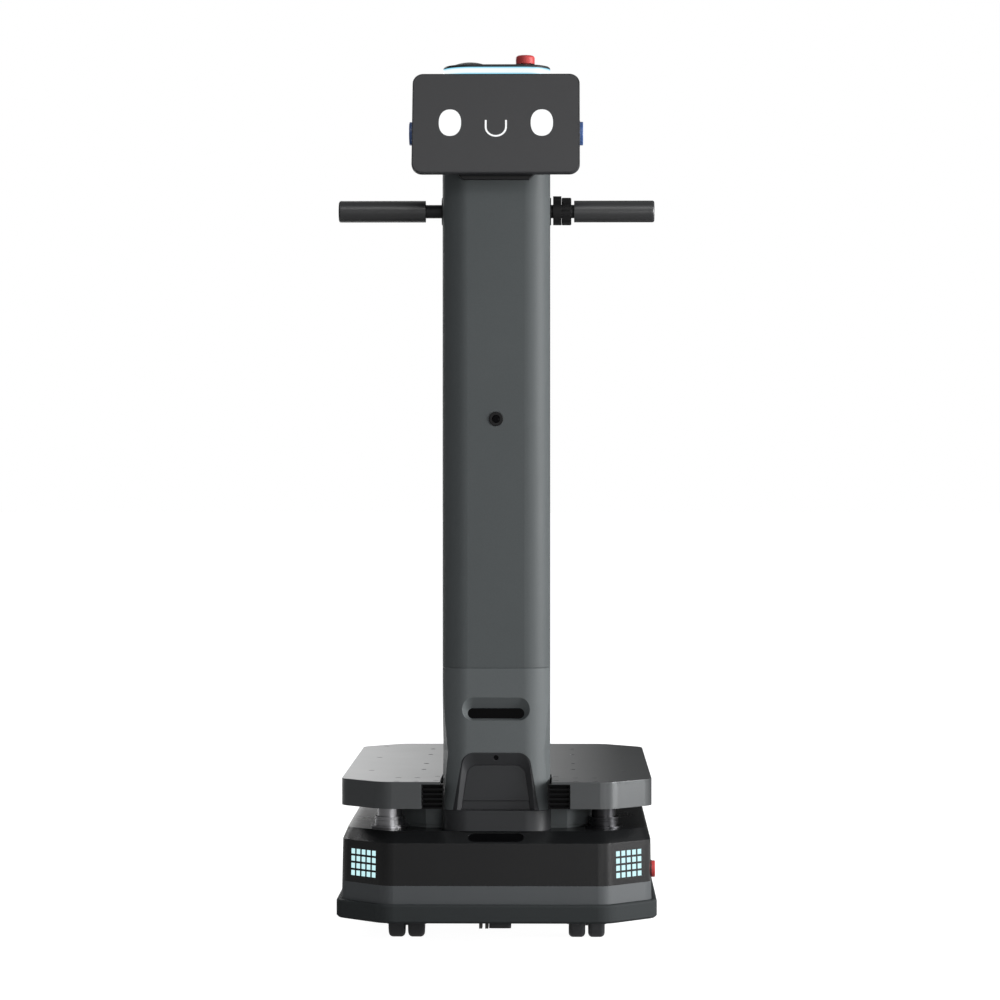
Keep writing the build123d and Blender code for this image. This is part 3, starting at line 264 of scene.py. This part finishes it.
def make_finish(name, colour, roughness, grain_size=900.0, depth=0.03, tint=0.05,
                scuff=0.05, wear_and_highlight=0.25, radius=0.0006, **shader_values):
    """Material with grain and soft edges; other values go to the shader by name."""
    material = bpy.data.materials.new(name)
    material.use_nodes = True
    tree = material.node_tree
    shader = tree.nodes["Principled BSDF"]
    surface_grain = add_node(tree, "ShaderNodeGroup", {
        "Colour": colour, "Roughness": roughness, "Grain": grain_size, "Tint": tint,
        "Scuff": scuff}, node_tree=grain)
    # The lighter edge colour serves as wear, and as a painted highlight where the wear is
    # set strong.
    wear_and_highlight_colour = (*(min(1.0, wear_and_highlight_gain * c + wear_and_highlight_lift) for c in colour[:3]), 1)
    soft = add_node(tree, "ShaderNodeGroup", {
        "Colour": surface_grain.outputs["Colour"], "Worn and highlight colour": wear_and_highlight_colour,
        "Wear and highlight": wear_and_highlight, "Radius": radius}, node_tree=edges)
    bump = add_node(tree, "ShaderNodeBump", {
        "Strength": depth, "Distance": grain_height,
        "Height": surface_grain.outputs["Height"], "Normal": soft.outputs["Normal"]})
    feed(tree, shader.inputs["Base Color"], soft.outputs["Colour"])
    feed(tree, shader.inputs["Roughness"], surface_grain.outputs["Roughness"])
    feed(tree, shader.inputs["Normal"], bump.outputs["Normal"])
    for key, value in shader_values.items():
        shader.inputs[key.replace("_", " ")].default_value = value
    return material


print("finish function ready")

# %% [markdown]
# ## Plastics, paint and rubber
# The bumper is soft black rubber, the lower shell above it is mid-grey moulded plastic, the
# belt is black and polished, and the cover over the base is a satin black. The column and
# the deck are powder-coated metal. The deck's coat has a little metal flake in it. The
# pedestal and the fairing take a lighter copy of the column paint, which is painted light:
# it stands in for the extra light on the fairing's forward slope and on the pedestal under
# the deck. The other colours are the ones a plain light shows, so they stay right under any
# other light.

# %% Finishes of the body
finish = {}
finish["bumper_rubber"] = make_finish(
    "bumper rubber", linear(51, 54, 55), 0.7, grain_size=700, depth=0.12, tint=0.04,
    wear_and_highlight=0.1, radius=0.001, Specular_IOR_Level=0.12)
finish["shell_grey"] = make_finish(
    "grey moulded shell", linear(78, 81, 83), 0.5, grain_size=900, depth=0.08, tint=0.03,
    wear_and_highlight=0.15, Specular_IOR_Level=0.35)
finish["gloss_black"] = make_finish(
    "polished black belt", linear(19, 19, 20), 0.2, grain_size=300, depth=0.004, tint=0.03,
    scuff=0.02, wear_and_highlight=0.05, Coat_Weight=0.3, Coat_Roughness=0.08)
finish["cover_black"] = make_finish(
    "satin black cover", linear(22, 23, 24), 0.27, grain_size=1100, depth=0.03, tint=0.015,
    scuff=0.008, wear_and_highlight=0.08, Specular_IOR_Level=0.5)
finish["column_paint"] = make_finish(
    "column powder coat", linear(84, 88, 89), 0.5, grain_size=420, depth=0.06, tint=0.03,
    wear_and_highlight=0.1, Specular_IOR_Level=0.15)
# A lighter copy of the column paint for the pedestal and the fairing: painted light, for the
# extra light that falls on them.
finish["column_paint_painted_lighter"] = make_finish(
    "column paint lightened as painted light", linear(94, 98, 99), 0.5, grain_size=420,
    depth=0.06, tint=0.03, wear_and_highlight=0.1, Specular_IOR_Level=0.15)
finish["deck_paint"] = make_finish(
    "deck powder coat", linear(83, 85, 86), 0.31, grain_size=750, depth=0.04, tint=0.015,
    scuff=0.012, wear_and_highlight=0.06, Metallic=0.35)
finish["frame_steel"] = make_finish(
    "painted floor plate", linear(48, 48, 51), 0.5, grain_size=700, depth=0.06, wear_and_highlight=0.4)
finish["handle_steel"] = make_finish(
    "black painted tube", linear(36, 37, 39), 0.4, grain_size=800, depth=0.04,
    Specular_IOR_Level=0.3)
print("finishes:", ", ".join(finish))

# %% [markdown]
# ## Small moulded pieces
# The head, the fairing's door, the grilles, the casters' forks and the battery are moulded
# in dark plastic. They differ in how black and how matt they are. The door and the grilles'
# blades have a strong lighter edge colour, a painted highlight along their edges, and the
# grilles' extra black is painted shade in the slots between the blades.

# %% Finishes of the small pieces
finish["dark_plastic"] = make_finish(
    "dark satin plastic", linear(44, 45, 47), 0.42, grain_size=1000, depth=0.05, tint=0.03,
    wear_and_highlight=0.15, Specular_IOR_Level=0.35)
finish["black_plastic"] = make_finish(
    "black matt plastic", linear(19, 19, 20), 0.5, grain_size=1000, depth=0.06, tint=0.04,
    wear_and_highlight=0.2, Specular_IOR_Level=0.25)
finish["head_plastic"] = make_finish(
    "head housing plastic", linear(46, 47, 49), 0.48, grain_size=1100, depth=0.07,
    tint=0.03, wear_and_highlight=0.15, Specular_IOR_Level=0.35)
# The door's strong lighter edge colour is a painted highlight along its edges.
finish["door_plastic_edge_highlight"] = make_finish(
    "door plastic with painted edge highlights", linear(46, 47, 49), 0.45, grain_size=1000,
    depth=0.05, tint=0.03, wear_and_highlight=0.5, radius=0.0014, Specular_IOR_Level=0.35)
# The grille's extra black is painted shade in its slots, and its strong lighter edge colour
# is a painted highlight on the blades.
finish["grille_black_painted_shade"] = make_finish(
    "grille black with painted shade and edge highlights", linear(9, 9, 10), 0.5, grain_size=1000, depth=0.06, tint=0.04,
    wear_and_highlight=0.6, Specular_IOR_Level=0.12)
finish["caster_plastic"] = make_finish(
    "caster fork plastic", linear(36, 37, 39), 0.45, grain_size=900, depth=0.06,
    Specular_IOR_Level=0.3)
finish["battery_case"] = make_finish(
    "battery case", linear(56, 56, 58), 0.5, grain_size=800, depth=0.06, wear_and_highlight=0.3)
print("finishes so far:", len(finish))

# %% [markdown]
# ## Bare metal
# The lifting posts are ground steel, the hubs are machined aluminium. A bare metal has its
# colour in the reflection, so Metallic is 1 and the colour is pale, apart from the charging
# contacts and the blackened screws. The grain is coarse and shallow: it stands for tool
# marks.

# %% Finishes of bare metal
metals = {
    "post_steel": ("ground steel", linear(188, 188, 191), 0.3),
    "spine_aluminium": ("extruded aluminium", linear(188, 188, 191), 0.38),
    "hub_aluminium": ("machined aluminium", linear(170, 170, 174), 0.32),
    "control_case": ("anodised case", linear(160, 160, 163), 0.42),
    "drive_case": ("cast gearbox", linear(124, 124, 127), 0.55),
    "contact_metal": ("plated contact", linear(82, 81, 79), 0.5),
    "screw_steel": ("blackened screw", linear(92, 92, 94), 0.35),
}
for slot, (label, colour, roughness) in metals.items():
    finish[slot] = make_finish(
        label, colour, roughness, grain_size=400, depth=0.02, tint=0.02, scuff=0.04,
        wear_and_highlight=0.05, Metallic=1.0)
print("metals:", ", ".join(metals))

# %% [markdown]
# ## One post bright, the other dark
# Ground steel shows what stands around it. In the photograph the left post mirrors the
# white backdrop and the right one a dark corner. A lamp or a wall for each post would be
# seen by all the pieces near it, so the posts on the right take a darker steel colour
# instead. The four posts are one object, and its X tells left from right.

# %% Colour of the posts by side
dark_post = linear(66, 66, 68)
blend_reach = 0.01

post_tree = finish["post_steel"].node_tree
post_colour = post_tree.nodes["Principled BSDF"].inputs["Base Color"]
on_right = map_range(post_tree, along_axis(post_tree, "X"), -blend_reach, blend_reach)
bare_colour = post_colour.links[0].from_socket
feed(post_tree, post_colour, mix_colours(post_tree, on_right, bare_colour, dark_post))
print("the posts turn dark within", 2 * blend_reach, "m of the middle")

# %% [markdown]
# ## Rubber that rolls and rubber that is held
# The drive tyres carry rings of tread, the caster wheels are smooth, and the grips are a
# soft rubber with a dull shine. The tread is a height pattern across the tyre's width, so
# it needs no extra faces: X runs along the axle, and a sine of X makes the rings.

# %% Finishes of rubber
ring_turn_per_m = 900.0
tread_depth = 0.002
tread_strength = 0.6

finish["caster_tyre"] = make_finish(
    "caster tread", linear(72, 73, 75), 0.5, grain_size=600, depth=0.08, wear_and_highlight=0.2,
    radius=0.001, Specular_IOR_Level=0.3)
finish["grip_rubber"] = make_finish(
    "soft grip rubber", linear(30, 31, 33), 0.38, grain_size=1300, depth=0.1, tint=0.03,
    wear_and_highlight=0.08, radius=0.001, Specular_IOR_Level=1.0)
finish["drive_tyre"] = make_finish(
    "drive tyre", linear(42, 42, 43), 0.7, grain_size=600, depth=0.15, wear_and_highlight=0.3)
tyre_tree = finish["drive_tyre"].node_tree
tyre_normal = tyre_tree.nodes["Principled BSDF"].inputs["Normal"]
ring_turn = calculate(tyre_tree, "MULTIPLY", along_axis(tyre_tree, "X"), ring_turn_per_m)
tread = add_node(tyre_tree, "ShaderNodeBump", {
    "Strength": tread_strength, "Distance": tread_depth,
    "Height": calculate(tyre_tree, "SINE", ring_turn),
    "Normal": tyre_normal.links[0].from_socket})
feed(tyre_tree, tyre_normal, tread.outputs["Normal"])
print("tread rings are", round(2 * math.pi / ring_turn_per_m * 1000, 1), "mm apart")

# %% [markdown]
# ## Windows, lenses and buttons
# The scanner and camera windows are black and smooth, and mirror little. The screen is a
# lit panel under satin glass, and its even grey is a painted reflection of the high front
# softbox on that glass. None of them has any grain or wear. The buttons are coloured
# plastic, the blue ones a little glossier.

# %% Finishes of windows and buttons
glass_pieces = {
    "window_black": ("scanner window", linear(4, 4, 5), 0.12, 0.05, 0.15),
    "lens_glass": ("lens glass", linear(5, 5, 7), 0.08, 0.05, 0.15),
    # The screen's grey is a painted reflection of the high front softbox on the dark glass.
    "screen_glass": ("screen glass with painted reflection", linear(74, 74, 75), 0.34, 0.01, 0.12),
}
for slot, (label, colour, roughness, tint, mirror) in glass_pieces.items():
    finish[slot] = make_finish(
        label, colour, roughness, grain_size=200, depth=0.0, tint=tint, scuff=0.02,
        wear_and_highlight=0.0, Specular_IOR_Level=mirror)
finish["button_blue"] = make_finish(
    "blue button", linear(74, 104, 162), 0.3, tint=0.03, wear_and_highlight=0.15)
finish["button_red"] = make_finish(
    "red button", linear(196, 62, 62), 0.5, tint=0.03, wear_and_highlight=0.15)
print("finishes so far:", len(finish))

# %% [markdown]
# ## Light
# The headlight windows, the ring at the top and the face on the screen give light. A lamp
# behind a diffuser is never quite even, so the colour follows a slow noise around one
# value. The strength stays near 1: more would only clip to white and lose the cyan. Under
# the glow each piece is a dark plastic, which other light can't bleach.

# %% Finishes that give light
unlit_colour = (0.04, 0.045, 0.05, 1)
glow_tint = 0.05


def make_lit(name, colour, strength, clouds_per_m):
    """Glowing material whose colour drifts a little around one brightness."""
    material = bpy.data.materials.new(name)
    material.use_nodes = True
    tree = material.node_tree
    shader = tree.nodes["Principled BSDF"]
    lit_grain = add_node(tree, "ShaderNodeGroup", {
        "Colour": colour, "Clouds": clouds_per_m, "Tint": glow_tint}, node_tree=grain)
    for label, value in (("Roughness", 0.3), ("Specular IOR Level", 0.2),
                         ("Base Color", unlit_colour), ("Emission Strength", strength),
                         ("Emission Color", lit_grain.outputs["Colour"])):
        feed(tree, shader.inputs[label], value)
    return material


finish["light_cyan"] = make_lit("headlight glow", linear(205, 248, 252), 0.95, 30.0)
finish["ring_glow"] = make_lit("ring glow", linear(246, 253, 253), 1.0, 12.0)
finish["face_glow"] = make_lit("face glow", linear(252, 253, 253), 1.0, 40.0)
print("lit finishes: light_cyan, ring_glow, face_glow")

# %% [markdown]
# ## The ring's cyan rims
# The ring at the top is almost white in the middle of its height and cyan at its upper and
# lower rim, because the lamps sit behind its middle. The height above or below the middle
# is the mask for the second colour.

# %% Colour of the ring by height
rim_colour = linear(96, 208, 240)
white_part = 0.45

ring_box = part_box("light_ring")
ring_middle = (ring_box[0][2] + ring_box[1][2]) / 2
ring_half = (ring_box[1][2] - ring_box[0][2]) / 2
ring_tree = finish["ring_glow"].node_tree
ring_colour = ring_tree.nodes["Principled BSDF"].inputs["Emission Color"]
above = calculate(ring_tree, "SUBTRACT", along_axis(ring_tree, "Z"), ring_middle)
from_middle = calculate(ring_tree, "ABSOLUTE", above)
at_rim = map_range(ring_tree, from_middle, white_part * ring_half, ring_half)
ring_white = ring_colour.links[0].from_socket
feed(ring_tree, ring_colour, mix_colours(ring_tree, at_rim, ring_white, rim_colour))
print("the ring is", round(2000 * ring_half, 1), "mm high")

# %% [markdown]
# ## Dress the nodes
# The record says which slot each node takes its finish from, and one loop does the work.
# Six nodes have a finish of their own. The ring is whiter than the headlights. The pedestal
# and the fairing take a lighter copy of the column paint, as painted light. The door and its
# frame have painted highlights along their edges, and the grilles are blacker than the other
# black plastic, with painted shade in their slots.

# %% Give every node its finish
slot_of = {part["node"]: part["material_slot"] for part in frame["record"]["subparts"]}
own_finish = {
    "light_ring": "ring_glow",
    "pedestal": "column_paint_painted_lighter",
    "column_fairing": "column_paint_painted_lighter",
    "door_frame": "door_plastic_edge_highlight",
    "foot_door": "door_plastic_edge_highlight",
    "deck_grilles": "grille_black_painted_shade",
}
for name, piece in nodes.items():
    piece.data.materials.clear()
    piece.data.materials.append(finish[own_finish.get(name, slot_of[name])])
print("nodes dressed:", len(nodes))

# %% [markdown]
# ## The face on the screen
# The lit panel shows a plain face: two ovals and a curved line. They are light, so they
# could be painted in the screen's material, but thin shapes of their own stay sharp at any
# size and are easy to move. Each one lies a fifth of a millimetre proud of the glass.

# %% The plane of the screen
tilt = math.radians(19.0)
screen_origin = Vector((0.0, -0.389, 1.2724))
screen_out = Vector((0.0, -math.cos(tilt), math.sin(tilt)))
screen_up = Vector((0.0, math.sin(tilt), math.cos(tilt)))
screen_right = Vector((1.0, 0.0, 0.0))


def on_screen(right, up, out):
    """Point on or in front of the screen, from its middle, in metres."""
    return screen_origin + right * screen_right + up * screen_up + out * screen_out


def thin_shape(name, outline, thickness=0.0002):
    """Thin raised slab on the screen with an outline of (right, up) points."""
    mesh = bpy.data.meshes.new(name)
    shape = bmesh.new()
    face = shape.faces.new([shape.verts.new(on_screen(r, u, thickness)) for r, u in outline])
    grown = bmesh.ops.extrude_face_region(shape, geom=[face])["geom"]
    moved = [item for item in grown if isinstance(item, bmesh.types.BMVert)]
    bmesh.ops.translate(shape, verts=moved, vec=-thickness * screen_out)
    bmesh.ops.recalc_face_normals(shape, faces=shape.faces)
    shape.to_mesh(mesh)
    shape.free()
    piece = bpy.data.objects.new(name, mesh)
    bpy.context.scene.collection.objects.link(piece)
    mesh.materials.append(finish["face_glow"])
    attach(piece, "base")


print("screen faces", tuple(round(v, 3) for v in screen_out))

# %% [markdown]
# ## Two eyes
# The eyes are ovals that are a little squarer than an ellipse. A sine and a cosine draw the
# ellipse, and a power just under 1 pushes both outwards between the four ends.

# %% Eyes
eye_width = 0.0346
eye_height = 0.0447
eye_spread = 0.0712
eye_level = 0.0004
squareness = 2.25
steps = 64


def squarer(value):
    """Sine or cosine bent towards a squarer oval."""
    return math.copysign(abs(value) ** (2 / squareness), value)


for side, word in ((-1, "left"), (1, "right")):
    oval = []
    for step in range(steps):
        turn = 2 * math.pi * step / steps
        oval.append((
            side * eye_spread + eye_width / 2 * squarer(math.cos(turn)),
            eye_level + eye_height / 2 * squarer(math.sin(turn)),
        ))
    thin_shape(f"screen_eye_{word}", oval)
print("eyes:", round(1000 * 2 * eye_spread, 1), "mm apart")

# %% [markdown]
# ## The mouth
# The mouth is a U of one stroke width. The same line is drawn twice, half a stroke outside
# and half a stroke inside, and the second one runs back, so the two make one closed outline.

# %% Mouth
mouth_half = 0.0157
mouth_top = 0.0048
mouth_bend = -0.0068
mouth_drop = 0.0152
stroke = 0.0028


def mouth_line(shift):
    """Points of a U, moved out of its middle line by the shift."""
    points = [(-mouth_half - shift, mouth_top)]
    for step in range(steps + 1):
        turn = math.pi + math.pi * step / steps
        points.append(((mouth_half + shift) * math.cos(turn),
                       mouth_bend + (mouth_drop + shift) * math.sin(turn)))
    points.append((mouth_half + shift, mouth_top))
    return points


thin_shape("screen_mouth", mouth_line(stroke / 2) + mouth_line(-stroke / 2)[::-1])
print("mouth:", round(1000 * (2 * mouth_half + stroke), 1), "mm wide")

# %% [markdown]
# ## Sky
# The background is white, yet more light on the robot is the wrong way to get it: that
# would bleach the greys. Instead the world is white only where the camera, a reflection or
# a view through glass looks, and gives a weak bluish light to everything else.

# %% World
white = (1, 1, 1, 1)
sky_colour = (0.95, 0.97, 1, 1)
sky_strength = 0.3


def looked_at(tree):
    """1 for a ray of the camera, of a reflection or through glass, and 0 for other light."""
    rays = add_node(tree, "ShaderNodeLightPath").outputs
    plain = calculate(tree, "MAXIMUM", rays["Is Camera Ray"], rays["Is Glossy Ray"])
    return calculate(tree, "MAXIMUM", plain, rays["Is Transmission Ray"])


world = bpy.data.worlds.new("studio")
bpy.context.scene.world = world
world.use_nodes = True
sky = world.node_tree
sky.nodes.clear()
sky_light = add_node(sky, "ShaderNodeBackground", {
    "Color": sky_colour, "Strength": sky_strength})
sky_white = add_node(sky, "ShaderNodeBackground", {"Color": white, "Strength": 1.0})
sky_choice = add_node(sky, "ShaderNodeMixShader", {
    0: looked_at(sky), 1: sky_light.outputs[0], 2: sky_white.outputs[0]})
add_node(sky, "ShaderNodeOutputWorld", {"Surface": sky_choice.outputs[0]})
print("world nodes:", len(sky.nodes))

# %% [markdown]
# ## Floor
# The floor is a wide sheet of paper. It glows almost white where it is looked at, and its
# own grey is under the glow, so that it still takes the robot's shadow.

# %% Floor
floor_reach = 60.0
floor_grey = (0.4, 0.4, 0.4, 1)
floor_white = 0.97


def add_sheet(name, corners, faces):
    """Object made of flat faces, put into the scene."""
    mesh = bpy.data.meshes.new(name)
    mesh.from_pydata(corners, [], faces)
    sheet = bpy.data.objects.new(name, mesh)
    bpy.context.scene.collection.objects.link(sheet)
    return sheet


floor_corners = [(-floor_reach, -floor_reach, 0), (floor_reach, -floor_reach, 0),
                 (floor_reach, floor_reach, 0), (-floor_reach, floor_reach, 0)]
floor = add_sheet("floor", floor_corners, [(0, 1, 2, 3)])
paper = bpy.data.materials.new("white paper")
paper.use_nodes = True
paper_tree = paper.node_tree
paper_tree.nodes.clear()
floor_base = add_node(paper_tree, "ShaderNodeBsdfDiffuse", {"Color": floor_grey})
floor_glow = add_node(paper_tree, "ShaderNodeEmission", {
    "Color": white, "Strength": floor_white})
floor_choice = add_node(paper_tree, "ShaderNodeMixShader", {
    0: looked_at(paper_tree), 2: floor_glow.outputs[0]})
floor_sum = add_node(paper_tree, "ShaderNodeAddShader", {
    0: floor_base.outputs[0], 1: floor_choice.outputs[0]})
add_node(paper_tree, "ShaderNodeOutputMaterial", {"Surface": floor_sum.outputs[0]})
floor.data.materials.append(paper)
print("floor is", 2 * floor_reach, "m wide")

# %% [markdown]
# ## Lamps
# The right side of every form is lighter than the left, so the main softbox stands far to
# the right, a little in front. A weaker one high in front draws the light lines along the
# top edges, one low in front on the right opens the shell and the bumper, and one behind
# on the left lights the back, which the other three leave dark.

# %% Softboxes
def softbox(name, place, target, width, height, watts):
    """Rectangular area lamp that points at a target."""
    lamp = bpy.data.lights.new(name, "AREA")
    lamp.shape = "RECTANGLE"
    lamp.size = width
    lamp.size_y = height
    lamp.energy = watts
    box = bpy.data.objects.new(name, lamp)
    bpy.context.scene.collection.objects.link(box)
    box.location = place
    box.rotation_mode = "QUATERNION"
    box.rotation_quaternion = (Vector(target) - Vector(place)).to_track_quat("-Z", "Y")


softbox("softbox_right", place=(3.4, -1.15, 1.1), target=(0.0, 0.0, 0.5),
        width=1.8, height=1.8, watts=172)
softbox("softbox_front", place=(0.5, -4.3, 4.0), target=(0.0, 0.0, 0.9),
        width=3.0, height=1.2, watts=36)
softbox("softbox_low", place=(1.6, -4.5, 0.7), target=(0.0, 0.0, 0.3),
        width=2.0, height=0.7, watts=24)
softbox("softbox_back", place=(-2.2, 4.2, 3.0), target=(0.0, 0.0, 0.5),
        width=2.0, height=1.6, watts=60)
print("lamps:", len(bpy.data.lights))

# %% [markdown]
# ## What the glossy pieces see
# A polished piece shows the room. In a studio the white backdrop is behind the object, and
# the rest of the room is dark, and lighter on the side of the main lamp. A wall that only
# reflections see can stand for it: it changes what the gloss shows and adds no light. Its
# glow goes from dark to bright along X.

# %% Walls for reflections
def reflected_wall(name, corners, faces, dark_x, bright_x, power, dark, bright):
    """Wall that only reflections see, with a glow that goes from dark to bright along X."""
    wall = add_sheet(name, corners, faces)
    material = bpy.data.materials.new(name)
    material.use_nodes = True
    tree = material.node_tree
    tree.nodes.clear()
    way = map_range(tree, along_axis(tree, "X"), dark_x, bright_x)
    curve = calculate(tree, "POWER", way, power)
    strength = calculate(tree, "MULTIPLY_ADD", curve, bright - dark, dark)
    glow = add_node(tree, "ShaderNodeEmission", {"Strength": strength})
    add_node(tree, "ShaderNodeOutputMaterial", {"Surface": glow.outputs[0]})
    wall.data.materials.append(material)
    wall.visible_camera = False
    wall.visible_diffuse = False
    wall.visible_transmission = False
    wall.visible_shadow = False


print("wall helper ready")

# %% [markdown]
# ## The dark room
# A dome and a ground stand for the room. The dome has an opening behind the robot, a sixth
# of the way round and a quarter of the way up, where the white backdrop shows, and the
# ground ends behind the robot for the same reason.

# %% Dome and ground
room_radius = 9.0
room_turns = 36
room_rises = 12
open_turns = range(6, 12)
open_rises = range(3)
above_floor = 0.001
ground_back = 2.0
ground_fade = 3.0

room_corners = []
for rise in range(room_rises + 1):
    up = math.radians(90 * rise / room_rises)
    for step in range(room_turns + 1):
        turn = math.radians(360 * step / room_turns)
        room_corners.append((
            room_radius * math.cos(up) * math.cos(turn),
            room_radius * math.cos(up) * math.sin(turn),
            room_radius * math.sin(up) + above_floor,
        ))
room_faces = []
row = room_turns + 1
for rise in range(room_rises):
    for step in range(room_turns):
        if rise in open_rises and step in open_turns:
            continue
        low = rise * row + step
        room_faces.append((low, low + 1, low + row + 1, low + row))
reflected_wall("room_dome", room_corners, room_faces, dark_x=-room_radius,
               bright_x=room_radius, power=2.0, dark=0.12, bright=0.9)
ground_corners = [
    (-room_radius, -room_radius, above_floor), (room_radius, -room_radius, above_floor),
    (room_radius, ground_back, above_floor), (-room_radius, ground_back, above_floor)]
reflected_wall("room_ground", ground_corners, [(0, 1, 2, 3)], dark_x=-ground_fade,
               bright_x=ground_fade, power=2.0, dark=0.12, bright=0.9)
print("dome faces:", len(room_faces))

# %% [markdown]
# ## The fall of light on the deck
# The top of the deck mirrors what stands low behind it: bright on the left, and dark
# towards the right. A screen behind the robot gives it that fall. It is brighter than white
# at its left end, because the paint mirrors only a part of what it sees.

# %% Dark screen
screen_left = -0.7
screen_side = 3.0
screen_back = 0.95
screen_top = 2.2

screen_corners = [
    (screen_left, screen_back, 0.0), (screen_side, screen_back, 0.0),
    (screen_side, screen_back, screen_top), (screen_left, screen_back, screen_top)]
reflected_wall("dark_screen", screen_corners, [(0, 1, 2, 3)], dark_x=0.22,
               bright_x=screen_left, power=1.0, dark=0.05, bright=2.4)
print("the screen is", round(screen_side - screen_left, 1), "m wide")
